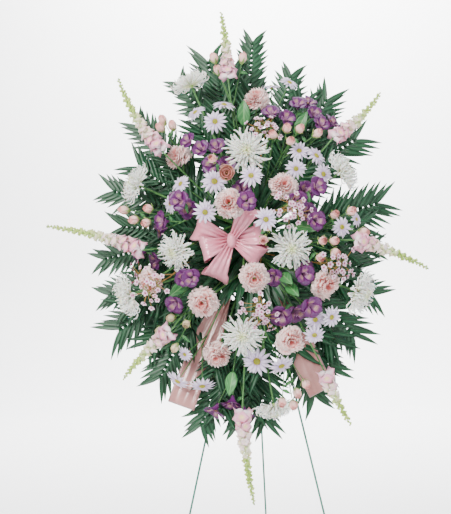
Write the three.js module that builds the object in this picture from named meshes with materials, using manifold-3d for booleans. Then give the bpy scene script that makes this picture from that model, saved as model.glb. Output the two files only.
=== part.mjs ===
// Standing funeral arrangement: a spray of cut flowers in a foam block, hung on a folding wire easel.
// Millimetres, +Z up, the front faces -Y. Everything is set out round HUB, the middle of the foam block.
import * as THREE from 'three';
import Module from 'manifold-3d';

const wasm = await Module();
wasm.setup();

// Easel: a 48 inch (1220 mm) wire easel that leans back
const WIRE_RADIUS = 2.5;
const LEAN = THREE.MathUtils.degToRad(12);
const HUB_HEIGHT = 1134.5;
const PLANE_BACK = 60;
const APEX_ABOVE_HUB = 68;
const APEX_BEND = 9;
const LEG_SPREAD = 0.222;
const HINGE_DROP = 112;
const CROSSBAR_DROP = 470;
const REAR_FOOT_BACK = 425;
const EYE_GAP = 0.4;
const WIRE_SIDES = 8;

// Foam block and its plastic cage
const FOAM_HALF = { across: 52, up: 120, deep: 40 };
const SEAT_GAP = 0.3;
const TRAY_THICK = 2.7;
const TRAY_HALF = { across: 61, up: 125 };
const HOOP_RADIUS = 1.6;
const HOOP_UP = 62;
const HOOK_ACROSS = 13;
const HOOK_WIDTH = 4;
const HEEL_UP = -112;

// Stems
const ROOT_DEPTH = 20;
const HOLE_MARGIN = 0.4;
const CLEARANCE = 1.2;
const STEM_SIDES = 4;
const ROOT_SIDES = 3;
const NESTLE = 3;
const ROOT_RISE = 9;
const ROOT_STOUT = 1.5;
const STALK_SLIM = 0.65;
const SPRIG_FLOWERS = 3;

// The flowers stand on a dome: how far it stands out in the middle and at its rim
const DOME_MIDDLE = 178;
const DOME_RIM = 30;
const DOME_RADIUS = 470;

// The viewpoint that the places below are given from
const VIEW_DISTANCE = 3100;
const VIEW_TURN = THREE.MathUtils.degToRad(5);
const VIEW_ROLL = THREE.MathUtils.degToRad(1.6);
const VIEW_AXIS = { across: -64, up: -42 };

// Ribbon, 70 mm wide
const RIBBON_HALF = 34;
const RIBBON_THICK = 1;
const BOW = { across: -48, up: 0, proud: 126 };

const vec = (x, y, z) => new THREE.Vector3(x, y, z);
const mix = (a, b, t) => a.clone().lerp(b, t);
const toward = (a, b) => b.clone().sub(a).normalize();
const add = (a, direction, length) => a.clone().addScaledVector(direction, length);

const HUB = vec(0, 0, HUB_HEIGHT);
const ACROSS = vec(1, 0, 0);
const SLOPE = vec(0, Math.sin(LEAN), Math.cos(LEAN));
const FRONT = vec(0, -Math.cos(LEAN), Math.sin(LEAN));

// A point in the leaned frame: across, up the slope and out to the front of the hub
function leaned(across, up, proud) {
  return add(add(add(HUB, ACROSS, across), SLOPE, up), FRONT, proud);
}

const SIGHT = vec(-Math.sin(VIEW_TURN), Math.cos(VIEW_TURN), 0);
const LEVEL_RIGHT = vec(Math.cos(VIEW_TURN), Math.sin(VIEW_TURN), 0);
const UPRIGHT = vec(0, 0, 1);
const LEVEL_SHARE = LEVEL_RIGHT.clone().multiplyScalar(Math.cos(VIEW_ROLL));
const VIEW_RIGHT = add(LEVEL_SHARE, UPRIGHT, -Math.sin(VIEW_ROLL));
const VIEW_UP = add(LEVEL_RIGHT.clone().multiplyScalar(Math.sin(VIEW_ROLL)), UPRIGHT, Math.cos(VIEW_ROLL));
const AXIS_POINT = add(add(HUB, VIEW_RIGHT, VIEW_AXIS.across), VIEW_UP, VIEW_AXIS.up);
const VIEWPOINT = add(AXIS_POINT, SIGHT, -VIEW_DISTANCE);

// The point that is seen across and up from the hub, on the leaned plane that lies proud of it
function seen(across, up, proud) {
  const mark = add(add(HUB, VIEW_RIGHT, across), VIEW_UP, up);
  const ray = mark.sub(VIEWPOINT);
  const reach = (proud - VIEWPOINT.clone().sub(HUB).dot(FRONT)) / ray.dot(FRONT);
  return add(VIEWPOINT, ray, reach);
}

function dome(across, up) {
  const share = Math.min(1, Math.hypot(across, up) / DOME_RADIUS);
  return DOME_RIM + (DOME_MIDDLE - DOME_RIM) * Math.cos(share * Math.PI / 2);
}

// A repeatable number from 0 to 1 for each seed
function chance(seed) {
  const wave = Math.sin(seed * 12.9898 + 4.1) * 43758.5453;
  return wave - Math.floor(wave);
}

// Solids

function solid(points, faces) {
  const corners = new Float32Array(points.length * 3);
  points.forEach((p, i) => corners.set([p.x, p.y, p.z], i * 3));
  let volume = 0;
  for (const [a, b, c] of faces) volume += points[a].dot(points[b].clone().cross(points[c]));
  const turned = volume < 0 ? faces.map(([a, b, c]) => [a, c, b]) : faces;
  const triVerts = new Uint32Array(turned.flat());
  const mesh = new wasm.Mesh({ numProp: 3, vertProperties: corners, triVerts });
  return new wasm.Manifold(mesh);
}

function union(solids) {
  let pile = solids.slice();
  while (pile.length > 1) {
    const next = [];
    for (let i = 0; i < pile.length; i += 2) {
      next.push(i + 1 < pile.length ? pile[i].add(pile[i + 1]) : pile[i]);
    }
    pile = next;
  }
  return pile[0];
}

function solidOf(geometry) {
  const position = geometry.getAttribute('position');
  const index = geometry.getIndex();
  const keys = new Map();
  const points = [];
  const corner = (i) => {
    const p = vec(position.getX(i), position.getY(i), position.getZ(i));
    const key = p.toArray().map((value) => Math.round(value * 1e4)).join();
    if (!keys.has(key)) {
      keys.set(key, points.length);
      points.push(p);
    }
    return keys.get(key);
  };
  const order = index ? Array.from(index.array) : Array.from({ length: position.count }, (_, i) => i);
  const faces = [];
  for (let i = 0; i < order.length; i += 3) {
    const face = [corner(order[i]), corner(order[i + 1]), corner(order[i + 2])];
    if (new Set(face).size === 3) faces.push(face);
  }
  return solid(points, faces);
}

// A box in the leaned frame, from its lowest to its highest across, up and proud
function leanedBox(from, to) {
  const points = [];
  for (const a of [from[0], to[0]]) {
    for (const b of [from[1], to[1]]) {
      for (const c of [from[2], to[2]]) points.push(leaned(a, b, c));
    }
  }
  const faces = [[0, 1, 3], [0, 3, 2], [4, 6, 7], [4, 7, 5], [0, 4, 5], [0, 5, 1],
    [2, 3, 7], [2, 7, 6], [0, 2, 6], [0, 6, 4], [1, 5, 7], [1, 7, 3]];
  return solid(points, faces);
}

function anyNormal(direction) {
  const other = Math.abs(direction.x) < 0.8 ? vec(1, 0, 0) : vec(0, 1, 0);
  return other.cross(direction).normalize();
}

// A round bar along a line of points, with one radius for each
function tube(points, radii, sides) {
  const corners = [];
  let normal = anyNormal(toward(points[0], points[1]));
  points.forEach((p, i) => {
    const before = points[Math.max(0, i - 1)];
    const after = points[Math.min(points.length - 1, i + 1)];
    const along = toward(before, after);
    normal = add(normal, along, -normal.dot(along)).normalize();
    const side = along.clone().cross(normal);
    const radius = Array.isArray(radii) ? radii[i] : radii;
    for (let k = 0; k < sides; k += 1) {
      const angle = (k / sides) * 2 * Math.PI;
      corners.push(add(add(p, normal, radius * Math.cos(angle)), side, radius * Math.sin(angle)));
    }
  });
  const faces = [];
  const last = (points.length - 1) * sides;
  for (let k = 0; k < sides; k += 1) {
    const next = (k + 1) % sides;
    for (let i = 0; i < points.length - 1; i += 1) {
      const low = i * sides;
      const high = low + sides;
      faces.push([low + k, low + next, high + next], [low + k, high + next, high + k]);
    }
    if (k > 0 && k < sides - 1) faces.push([0, k + 1, k], [last, last + k, last + k + 1]);
  }
  return solid(corners, faces);
}

// A closed bloom with its stalk: rings whose even and odd points lie at two radii and heights.
// The stalk is three-sided and runs along its path, whose last point is the bloom's neck.
function bloom(shape, { place, axis, size }, path, radius, seed) {
  const { sides, rings, top } = shape;
  const spin = chance(seed) * 2 * Math.PI;
  const plain = anyNormal(axis);
  const first = plain.clone().multiplyScalar(Math.cos(spin))
    .addScaledVector(axis.clone().cross(plain), Math.sin(spin));
  const side = axis.clone().cross(first);
  const corners = [];
  const around = (middle, one, two, reach, angle) => (
    corners.push(add(add(middle, one, reach * Math.cos(angle)), two, reach * Math.sin(angle))));
  let normal = first;
  for (let i = path.length - 1; i >= 0; i -= 1) {
    const along = i === path.length - 1 ? axis : toward(path[i], path[i + 1]);
    normal = add(normal, along, -normal.dot(along)).normalize();
    const other = along.clone().cross(normal);
    for (let k = 0; k < 3; k += 1) around(path[i], normal, other, radius, (k * 2 * Math.PI) / 3);
  }
  const stalkCorners = corners.length;
  rings.forEach(([evenRadius, oddRadius, evenHeight, oddHeight], row) => {
    for (let k = 0; k < sides; k += 1) {
      const even = k % 2 === 0;
      const vary = 1 + shape.vary * (chance(seed + row * 31 + k * 7) - 0.5);
      const middle = add(place, axis, (even ? evenHeight : oddHeight) * size);
      around(middle, first, side, (even ? evenRadius : oddRadius) * size * vary, (k / sides) * 2 * Math.PI);
    }
  });
  corners.push(add(place, axis, top * size));
  const crown = corners.length - 1;
  const faces = [[stalkCorners - 3, stalkCorners - 1, stalkCorners - 2]];
  for (let k = 0; k < 3; k += 1) {
    const next = (k + 1) % 3;
    for (let low = stalkCorners - 3; low > 0; low -= 3) {
      faces.push([low + k, low + next, low - 3 + next], [low + k, low - 3 + next, low - 3 + k]);
    }
    const share = sides / 3;
    for (let i = 0; i < share; i += 1) {
      const at = k * share + i;
      faces.push([k, stalkCorners + ((at + 1) % sides), stalkCorners + at]);
    }
    faces.push([k, next, stalkCorners + ((k + 1) * share) % sides]);
  }
  for (let k = 0; k < sides; k += 1) {
    const next = (k + 1) % sides;
    faces.push([crown, crown - sides + k, crown - sides + next]);
    for (let row = 0; row < rings.length - 1; row += 1) {
      const low = stalkCorners + row * sides;
      const high = low + sides;
      faces.push([low + k, low + next, high + next], [low + k, high + next, high + k]);
    }
  }
  return solid(corners, faces);
}

const BLOOMS = {
  mum: { sides: 12, neck: -17, top: 15, vary: 0.12,
    rings: [[62, 26, -7, -5], [24, 52, 8, 11], [36, 14, 22, 16]] },
  carnation: { sides: 12, neck: -26, top: 19, vary: 0.14,
    rings: [[7, 7, -11, -11], [37, 26, 0, -6], [23, 32, 9, 11], [11, 21, 20, 22]] },
  daisy: { sides: 12, neck: -7, top: 7, vary: 0.14, rings: [[29, 14, 1, -1], [8, 8, 4, 4]] },
  floret: { sides: 12, neck: -20, top: -4, vary: 0.16, rings: [[24, 8, 9, 1]] },
  bud: { sides: 6, neck: -5, top: 24, vary: 0.1, rings: [[13.5, 8, 5, 1], [9.5, 11.5, 17, 15]] },
  wax: { sides: 6, neck: -4, top: 1, vary: 0.3, rings: [[8, 6, 2, 2]] },
};

// The room a head takes, as round-ended bars
function room(kind, base, axis, size) {
  if (kind === 'mum' || kind === 'daisy') {
    const radius = (kind === 'mum' ? 65 : 30) * size;
    const middle = add(base, axis, (kind === 'mum' ? 4 : 0) * size);
    const first = anyNormal(axis);
    const side = axis.clone().cross(first);
    return [0, 1, 2].map((spoke) => {
      const angle = (spoke * Math.PI) / 3;
      const arm = first.clone().multiplyScalar(Math.cos(angle)).addScaledVector(side, Math.sin(angle));
      return { a: add(middle, arm, -0.74 * radius), b: add(middle, arm, 0.74 * radius), r: 0.28 * radius };
    });
  }
  const balls = { carnation: [3, 35], floret: [1, 23], bud: [10, 14], wax: [0, 7] };
  const [height, radius] = balls[kind];
  const middle = add(base, axis, height * size);
  return [{ a: middle, b: middle, r: radius * size }];
}

// Shortest way between two round-ended bars, surface to surface
function gapBetween(one, two) {
  const u = one.b.clone().sub(one.a);
  const v = two.b.clone().sub(two.a);
  const w = one.a.clone().sub(two.a);
  const uu = u.dot(u);
  const vv = v.dot(v);
  const uv = u.dot(v);
  const uw = u.dot(w);
  const vw = v.dot(w);
  const clamp = (x) => Math.min(1, Math.max(0, x));
  const slack = uu * vv - uv * uv;
  let s = slack > 1e-6 ? clamp((uv * vw - vv * uw) / slack) : 0;
  let t = vv > 1e-6 ? (uv * s + vw) / vv : 0;
  if (t < 0 || t > 1 || vv <= 1e-6) {
    t = clamp(t);
    s = uu > 1e-6 ? clamp((uv * t - uw) / uu) : 0;
  }
  const apart = w.addScaledVector(u, s).addScaledVector(v, -t);
  return apart.length() - one.r - two.r;
}

const taken = [];

function clearance(bars, node) {
  let least = Infinity;
  for (const bar of bars) {
    for (const other of taken) {
      if (other.node !== node) least = Math.min(least, gapBetween(bar, other));
    }
  }
  return least;
}

function claim(bars, node) {
  for (const bar of bars) taken.push({ ...bar, node });
}

// The first of some choices whose bars clear every other node, or else the clearest one.
// Heads of the same cluster may lean on each other, but no more than NESTLE.
function settle(choices, node, build, near = []) {
  let best = null;
  for (const choice of choices) {
    const made = build(choice);
    made.free = clearance(made.bars, node);
    for (const bar of made.space || []) {
      for (const other of near) made.free = Math.min(made.free, gapBetween(bar, other) + NESTLE + CLEARANCE);
    }
    if (!best || made.free > best.free) best = made;
    if (made.free >= CLEARANCE) break;
  }
  claim(best.bars, node);
  return best;
}

function barsAlong(points, radius) {
  return points.slice(1).map((p, i) => ({ a: points[i], b: p, r: radius }));
}

// How far a head may be moved out, aside and along the view to clear its neighbours, least first
const DEPTHS = [0, 10, -10, 20, -20, 30, -30, 42, -42, 54];
const SWAYS = [0, 14, -14, 28, -28, 44, -44];
const NUDGES = [[0, 0], [7, 0], [-7, 0], [0, 7], [0, -7], [7, 7], [-7, 7], [7, -7], [-7, -7],
  [13, 0], [-13, 0], [0, 13], [0, -13]];
const cost = ([depth, dx, dy, sway = 0]) => Math.abs(depth) + 2 * Math.hypot(dx, dy) + 0.7 * Math.abs(sway);
const HEAD_MOVES = DEPTHS.flatMap((depth) => NUDGES.map(([dx, dy]) => [depth, dx, dy]))
  .sort((one, two) => cost(one) - cost(two));
const STEM_MOVES = HEAD_MOVES.flatMap((move) => SWAYS.map((sway) => [...move, sway]))
  .sort((one, two) => cost(one) - cost(two));
const FORK_MOVES = [0, -15, 15, -30, 30].flatMap((depth) => SWAYS.map((sway) => [depth, sway]));
const SHIFTS = [[0, 0], [6, 0], [-6, 0], [0, 8], [0, -8], [6, 8], [-6, -8], [6, -8], [-6, 8], [12, 0], [-12, 0],
  [0, 16], [0, -16], [12, 12], [-12, -12], [12, -12], [-12, 12]];

const foamCuts = [];

// A stem's curve from where it leaves the foam to the back of a head
function stemCurve(start, neck, axis, sway) {
  const reach = start.distanceTo(neck);
  const side = toward(start, neck).cross(FRONT).normalize();
  const bend = add(add(neck, axis, -0.4 * reach), side, sway);
  const curve = new THREE.QuadraticBezierCurve3(start, bend, neck);
  return [start, curve.getPoint(0.6), neck];
}

function frontRoot(across, up) {
  return [46 * Math.tanh(across / 190), 106 * Math.tanh(up / 250)];
}

function headAt(head, [depth, dx, dy], from, shape) {
  const [across, up, lift, facing, size = 1] = head;
  const place = seen(across + dx, up + dy, dome(across, up) + lift + depth);
  const away = toward(from, place);
  const axis = away.multiplyScalar(1 - facing).addScaledVector(toward(place, VIEWPOINT), facing).normalize();
  return { place, axis, size, neck: add(place, axis, shape.neck * size) };
}

// A pointed oval blade from its foot to its tip, facing the front, with a raised midrib
function leafBlade(foot, tip, half) {
  const along = toward(foot, tip);
  const flat = along.clone().cross(FRONT).normalize();
  const face = flat.clone().cross(along).normalize();
  const corners = [foot];
  for (const [t, way] of [[0.3, 0.9], [0.65, 0.8]]) corners.push(add(mix(foot, tip, t), flat, half * way));
  corners.push(tip);
  for (const [t, way] of [[0.65, 0.8], [0.3, 0.9]]) corners.push(add(mix(foot, tip, t), flat, -half * way));
  corners.push(add(mix(foot, tip, 0.45), face, 1.6), add(mix(foot, tip, 0.45), face, -0.6));
  const faces = [];
  for (let k = 0; k < 6; k += 1) faces.push([6, k, (k + 1) % 6], [7, (k + 1) % 6, k]);
  return solid(corners, faces);
}

// A leaf on a stem of its own, by the middle of its blade, its length and half width
function leafOn(node, start, [across, up, lift, length, half]) {
  const made = settle(DEPTHS, node, (depth) => {
    const middle = seen(across, up, dome(across, up) + lift + depth);
    const along = toward(start, middle);
    const foot = add(middle, along, -length / 2);
    const tip = add(middle, along, length / 2);
    const flat = along.clone().cross(FRONT).normalize().multiplyScalar(half * 0.6);
    const edges = [-1, 1].map((way) => ({ a: add(middle, flat, way), b: middle, r: half * 0.45 }));
    return { foot, tip, bars: [{ a: start, b: foot, r: 2 }, { a: foot, b: tip, r: 4 }, ...edges] };
  });
  const stalkEnd = add(made.foot, toward(made.foot, made.tip), 6);
  return [tube([start, stalkEnd], 1.5, 3), leafBlade(made.foot, made.tip, half)];
}

// The small flowers of a waxflower sprig, set round its middle in a spiral
function sprig([across, up, lift]) {
  return Array.from({ length: SPRIG_FLOWERS }, (_, i) => {
    const turn = i * 2.4 + across;
    const reach = 13 + 4 * i;
    return [across + reach * Math.cos(turn), up + reach * Math.sin(turn), lift + 9 * (i % 3), 0.2, 1];
  });
}

// One node: heads in clusters and leaves, all their stems from one hole in the foam's front
function spray(node, kind, radius, clusters, leaves = []) {
  const shape = BLOOMS[kind];
  const all = clusters.flat();
  const mean = (heads, k) => heads.reduce((sum, head) => sum + head[k], 0) / heads.length;
  const [across, up] = [mean(all, 0), mean(all, 1)];
  const [rootAcross, rootUp] = frontRoot(across, up);
  const out = seen(across, up, dome(across, up));
  const rooted = settle(SHIFTS, node, ([dx, dz]) => {
    const root = leaned(rootAcross + dx, rootUp + dz, FOAM_HALF.deep);
    const steep = toward(root, out).add(FRONT).normalize();
    const path = [add(root, steep, -ROOT_DEPTH), add(root, steep, ROOT_RISE)];
    return { path, start: path[1], bars: barsAlong(path, radius * ROOT_STOUT + 0.5) };
  });
  const solids = [tube(rooted.path, radius * ROOT_STOUT, ROOT_SIDES)];
  foamCuts.push(tube([rooted.path[0], add(rooted.start, toward(rooted.path[0], rooted.start), 2)],
    radius * ROOT_STOUT + 2 * HOLE_MARGIN, ROOT_SIDES));
  const sink = (path) => [add(path[0], toward(path[0], rooted.path[0]), radius), ...path.slice(1)];
  clusters.forEach((heads, number) => {
    const seed = node.length * 17 + number * 5 + Math.round(heads[0][0] * 3 + heads[0][1]);
    if (heads.length === 1) {
      const made = settle(STEM_MOVES, node, (move) => {
        const at = headAt(heads[0], move, rooted.start, shape);
        const path = stemCurve(rooted.start, at.neck, at.axis, move[3]);
        const taken = room(kind, at.place, at.axis, at.size);
        return { at, path, bars: [...barsAlong(path, radius + 0.3), ...taken] };
      });
      solids.push(bloom(shape, made.at, sink(made.path), radius, seed));
      return;
    }
    const [middle, height] = [mean(heads, 0), mean(heads, 1)];
    const target = seen(middle, height, dome(middle, height) + mean(heads, 2) - 30);
    const main = settle(FORK_MOVES, node, ([depth, sway]) => {
      const fork = add(mix(rooted.start, target, 0.72), FRONT, depth);
      const path = stemCurve(rooted.start, fork, toward(rooted.start, target), sway);
      return { fork, path, bars: barsAlong(path, radius + 0.3) };
    });
    solids.push(tube(sink(main.path), radius, STEM_SIDES));
    const near = [];
    heads.forEach((head, i) => {
      const stalk = radius * STALK_SLIM;
      const start = mix(main.fork, main.path[1], (0.6 * i) / heads.length);
      const made = settle(HEAD_MOVES, node, (move) => {
        const at = headAt(head, move, start, shape);
        const space = room(kind, at.place, at.axis, at.size);
        return { at, space, bars: [{ a: start, b: at.neck, r: stalk + 0.2 }, ...space] };
      }, near);
      near.push(...made.space);
      solids.push(bloom(shape, made.at, [start, made.at.neck], stalk, seed + i * 13));
    });
  });
  for (const leaf of leaves) solids.push(...leafOn(node, rooted.start, leaf));
  return union(solids);
}

// Easel

function legPoint(side, drop) {
  return leaned(side * drop * LEG_SPREAD, APEX_ABOVE_HUB - drop, -PLANE_BACK);
}

const FLOOR_DROP = APEX_ABOVE_HUB + (HUB_HEIGHT - PLANE_BACK * Math.sin(LEAN)) / Math.cos(LEAN);
const BELOW_FLOOR = 12;

function aboveFloor(shape) {
  const slab = new THREE.BoxGeometry(2000, 2000, 200);
  slab.translate(0, 0, -100);
  return shape.subtract(solidOf(slab));
}

function easelFrame() {
  const bend = [];
  const centre = leaned(0, APEX_ABOVE_HUB - APEX_BEND, -PLANE_BACK);
  for (const angle of [-70, -35, 0, 35, 70]) {
    const turn = THREE.MathUtils.degToRad(angle);
    bend.push(add(add(centre, ACROSS, APEX_BEND * Math.sin(turn)), SLOPE, APEX_BEND * Math.cos(turn)));
  }
  const shoulder = APEX_BEND * 4;
  const foot = FLOOR_DROP + BELOW_FLOOR;
  const left = [legPoint(-1, foot), legPoint(-1, shoulder)];
  const wire = [...left, ...bend, legPoint(1, shoulder), legPoint(1, foot)];
  const bars = [HINGE_DROP, CROSSBAR_DROP].map((drop) => (
    tube([legPoint(-1, drop), legPoint(1, drop)], WIRE_RADIUS * 0.98, WIRE_SIDES)));
  return aboveFloor(union([tube(wire, WIRE_RADIUS, WIRE_SIDES), ...bars]));
}

const HINGE = leaned(0, APEX_ABOVE_HUB - HINGE_DROP, -PLANE_BACK);
const EYE_RADIUS = 2 * WIRE_RADIUS + EYE_GAP;

// The rear leg: a straight wire whose top end is bent into an eye round the upper crossbar
function rearLeg() {
  const foot = vec(0, REAR_FOOT_BACK, 0);
  const down = toward(HINGE, foot);
  const back = vec(0, 1, 0).addScaledVector(down, -down.y).normalize();
  const points = [];
  for (let angle = -150; angle <= 90; angle += 30) {
    const turn = THREE.MathUtils.degToRad(angle);
    points.push(add(add(HINGE, back, EYE_RADIUS * Math.sin(turn)), down, -EYE_RADIUS * Math.cos(turn)));
  }
  const offset = points[points.length - 1];
  points.push(add(offset, down, HINGE.distanceTo(foot) + BELOW_FLOOR));
  return aboveFloor(tube(points, WIRE_RADIUS, WIRE_SIDES));
}

// Cage: a back tray with two hoops over the foam, two hooks on the upper crossbar and a heel on the legs

const TRAY_FRONT = -FOAM_HALF.deep - SEAT_GAP;
const TRAY_BACK = TRAY_FRONT - TRAY_THICK;

function hoopPath(up) {
  const side = FOAM_HALF.across + SEAT_GAP + HOOP_RADIUS;
  const front = FOAM_HALF.deep + SEAT_GAP + HOOP_RADIUS;
  const turns = [[-side, TRAY_FRONT - 1], [-side, front], [side, front], [side, TRAY_FRONT - 1]];
  return turns.map(([across, proud]) => leaned(across, up, proud));
}

// A hook's outline, seen from the side: x is the way behind the tray, y is up the slope from the bar
function hookShape() {
  const reach = PLANE_BACK + TRAY_BACK;
  const inner = WIRE_RADIUS + SEAT_GAP + 0.1;
  const outer = inner + 4;
  const shape = new THREE.Shape();
  shape.moveTo(-1, inner);
  shape.lineTo(reach, inner);
  shape.absarc(reach, 0, inner, Math.PI / 2, -Math.PI / 3, true);
  shape.absarc(reach, 0, outer, -Math.PI / 3, Math.PI / 2, false);
  shape.lineTo(-1, outer);
  shape.closePath();
  return shape;
}

function hook(across) {
  const settings = { depth: HOOK_WIDTH, bevelEnabled: false, curveSegments: 3 };
  const geometry = new THREE.ExtrudeGeometry(hookShape(), settings);
  const origin = leaned(across - HOOK_WIDTH / 2, APEX_ABOVE_HUB - HINGE_DROP, TRAY_BACK);
  const basis = new THREE.Matrix4().makeBasis(FRONT.clone().negate(), SLOPE, ACROSS);
  geometry.applyMatrix4(basis.setPosition(origin));
  return solidOf(geometry);
}

function cage() {
  const tray = leanedBox([-TRAY_HALF.across, -TRAY_HALF.up, TRAY_BACK],
    [TRAY_HALF.across, TRAY_HALF.up, TRAY_FRONT]);
  const heelBack = -PLANE_BACK + WIRE_RADIUS + SEAT_GAP;
  const heel = leanedBox([-50, HEEL_UP - 5, heelBack], [50, HEEL_UP + 5, TRAY_BACK + 1]);
  const hoops = [-HOOP_UP, HOOP_UP].map((up) => tube(hoopPath(up), HOOP_RADIUS, 5));
  return union([tray, heel, ...hoops, hook(-HOOK_ACROSS), hook(HOOK_ACROSS)]);
}

for (const up of [-HOOP_UP, HOOP_UP]) claim(barsAlong(hoopPath(up), HOOP_RADIUS), 'foam_cage');

function foamBlock() {
  const block = leanedBox([-FOAM_HALF.across, -FOAM_HALF.up, -FOAM_HALF.deep],
    [FOAM_HALF.across, FOAM_HALF.up, FOAM_HALF.deep]);
  return block.subtract(union(foamCuts));
}

// Where a line from the foam's middle leaves its sides
function sideRoot(across, up) {
  const share = Math.min(FOAM_HALF.across / Math.abs(across || 1), FOAM_HALF.up / Math.abs(up || 1));
  return [across * share, up * share];
}

// Palm fronds

const LEAFLETS = 4;
const LEAFLET_HALF = 8.5;
const RIB_INWARD = 0.34;
const FROND_RISE = 14;
const FROND_ROOT = 4.1;
const FROND_SINK = 1.7;
const RIB = { wide: 1.8, thick: 1.7 };

// One frond as a single closed blade: a rib of diamond section with leaflets cut to it on both sides
function frond(stalk, ribStart, ribEnd, width, seed) {
  const along = toward(ribStart, ribEnd);
  const flat = along.clone().cross(FRONT).normalize();
  const face = flat.clone().cross(along).normalize();
  const stations = stalk.slice();
  for (let k = 0; k <= LEAFLETS; k += 1) stations.push(mix(ribStart, ribEnd, k / LEAFLETS));
  const corners = [];
  stations.forEach((p, i) => {
    const slim = 1 - 0.45 * (i / (stations.length - 1));
    corners.push(add(p, face, RIB.thick * slim), add(p, flat, RIB.wide * slim));
    corners.push(add(p, face, -RIB.thick * slim), add(p, flat, -RIB.wide * slim));
  });
  const tip = corners.push(add(ribEnd, along, 12)) - 1;
  const faces = [[0, 2, 1], [0, 3, 2]];
  const first = stalk.length;
  for (let i = 0; i < stations.length - 1; i += 1) {
    const low = i * 4;
    const high = low + 4;
    for (const [top, edge, under, side] of [[0, 1, 2, 1], [0, 3, 2, -1]]) {
      const corner = (a, b, c) => faces.push(side > 0 ? [a, c, b] : [a, b, c]);
      if (i < first) {
        corner(low + top, high + top, high + edge);
        corner(low + top, high + edge, low + edge);
        corner(low + under, low + edge, high + edge);
        corner(low + under, high + edge, high + under);
      } else {
        const order = (i - first) / (LEAFLETS - 1);
        const vary = chance(seed + i * 3 + side);
        const length = width * (1.1 - 0.22 * order) * (0.92 + 0.16 * vary);
        const spread = THREE.MathUtils.degToRad(56 - 32 * order + 6 * vary);
        const out = add(along.clone().multiplyScalar(Math.cos(spread)), flat, side * Math.sin(spread));
        const broad = face.clone().cross(out).multiplyScalar(side);
        const start = mix(stations[i], stations[i + 1], 0.5);
        const droop = -length * (0.04 + 0.06 * vary);
        const one = corners.push(add(add(start, out, length * 0.42), broad, -LEAFLET_HALF)) - 1;
        const end = corners.push(add(add(start, out, length), face, droop)) - 1;
        const two = corners.push(add(add(start, out, length * 0.42), broad, LEAFLET_HALF)) - 1;
        const ridge = corners.push(add(add(start, out, length * 0.4), face, 1.2)) - 1;
        corner(low + top, ridge, low + edge);
        corner(low + edge, ridge, one);
        corner(one, ridge, end);
        corner(end, ridge, two);
        corner(two, ridge, high + edge);
        corner(high + edge, ridge, high + top);
        corner(high + top, ridge, low + top);
        corner(low + under, low + edge, one);
        corner(low + under, one, two);
        corner(one, end, two);
        corner(low + under, two, high + under);
        corner(high + under, two, high + edge);
      }
    }
  }
  const last = (stations.length - 1) * 4;
  for (let k = 0; k < 4; k += 1) faces.push([tip, last + k, last + ((k + 1) % 4)]);
  return solid(corners, faces);
}

// A node of fronds from one hole in the foam's side, each [rib start, rib end, leaflet length]
function fronds(node, proud, list) {
  const mean = (k) => list.reduce((sum, item) => sum + item[2 + k], 0) / list.length;
  const [rootAcross, rootUp] = sideRoot(mean(0), mean(1));
  const root = leaned(rootAcross, rootUp, proud);
  const inner = add(root, toward(leaned(mean(0), mean(1), proud), root), ROOT_DEPTH);
  const outer = add(root, toward(inner, root), FROND_RISE);
  foamCuts.push(tube([inner, outer], FROND_ROOT + 2 * HOLE_MARGIN, ROOT_SIDES));
  const solids = [tube([inner, outer], FROND_ROOT, ROOT_SIDES)];
  list.forEach(([startAcross, startUp, endAcross, endUp, width], number) => {
    const layer = proud + (number - 1) * 5;
    const ribEnd = seen(endAcross, endUp, layer);
    const ribStart = mix(seen(startAcross, startUp, layer + 3), root, RIB_INWARD);
    const start = add(outer, toward(outer, root), FROND_SINK * (number + 1));
    solids.push(frond([start], ribStart, ribEnd, width, number * 11 + startAcross));
    claim(barsAlong([inner, root, ribStart, ribEnd], 3), node);
  });
  return union(solids);
}

// Snapdragons

const WHORLS = 8;

// A spike whose florets stand out in turn round its axis, from full size at the base to buds at the tip
function spike(path, seed) {
  const curve = new THREE.QuadraticBezierCurve3(path[0], path[1], path[2]);
  const sides = 6;
  const corners = [path[0]];
  let normal = anyNormal(toward(path[0], path[1]));
  for (let row = 0; row < WHORLS; row += 1) {
    const t = (row + 0.5) / WHORLS;
    const along = curve.getTangent(t);
    normal = add(normal, along, -normal.dot(along)).normalize();
    const side = along.clone().cross(normal);
    const full = 18 * (1 - t) ** 0.7 + 2.5;
    for (let k = 0; k < sides; k += 1) {
      const out = (k + row) % 2 === 0;
      const radius = (out ? full : full * 0.42) * (0.9 + 0.2 * chance(seed + row * 9 + k));
      const angle = (k / sides) * 2 * Math.PI + row * 0.2;
      const middle = add(curve.getPoint(t), along, out ? 3 : -2);
      corners.push(add(add(middle, normal, radius * Math.cos(angle)), side, radius * Math.sin(angle)));
    }
  }
  corners.push(path[2]);
  const faces = [];
  const crown = corners.length - 1;
  for (let k = 0; k < sides; k += 1) {
    const next = (k + 1) % sides;
    faces.push([0, 1 + next, 1 + k], [crown, crown - sides + k, crown - sides + next]);
    for (let row = 0; row < WHORLS - 1; row += 1) {
      const low = 1 + row * sides;
      const high = low + sides;
      faces.push([low + k, low + next, high + next], [low + k, high + next, high + k]);
    }
  }
  return solid(corners, faces);
}

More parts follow.
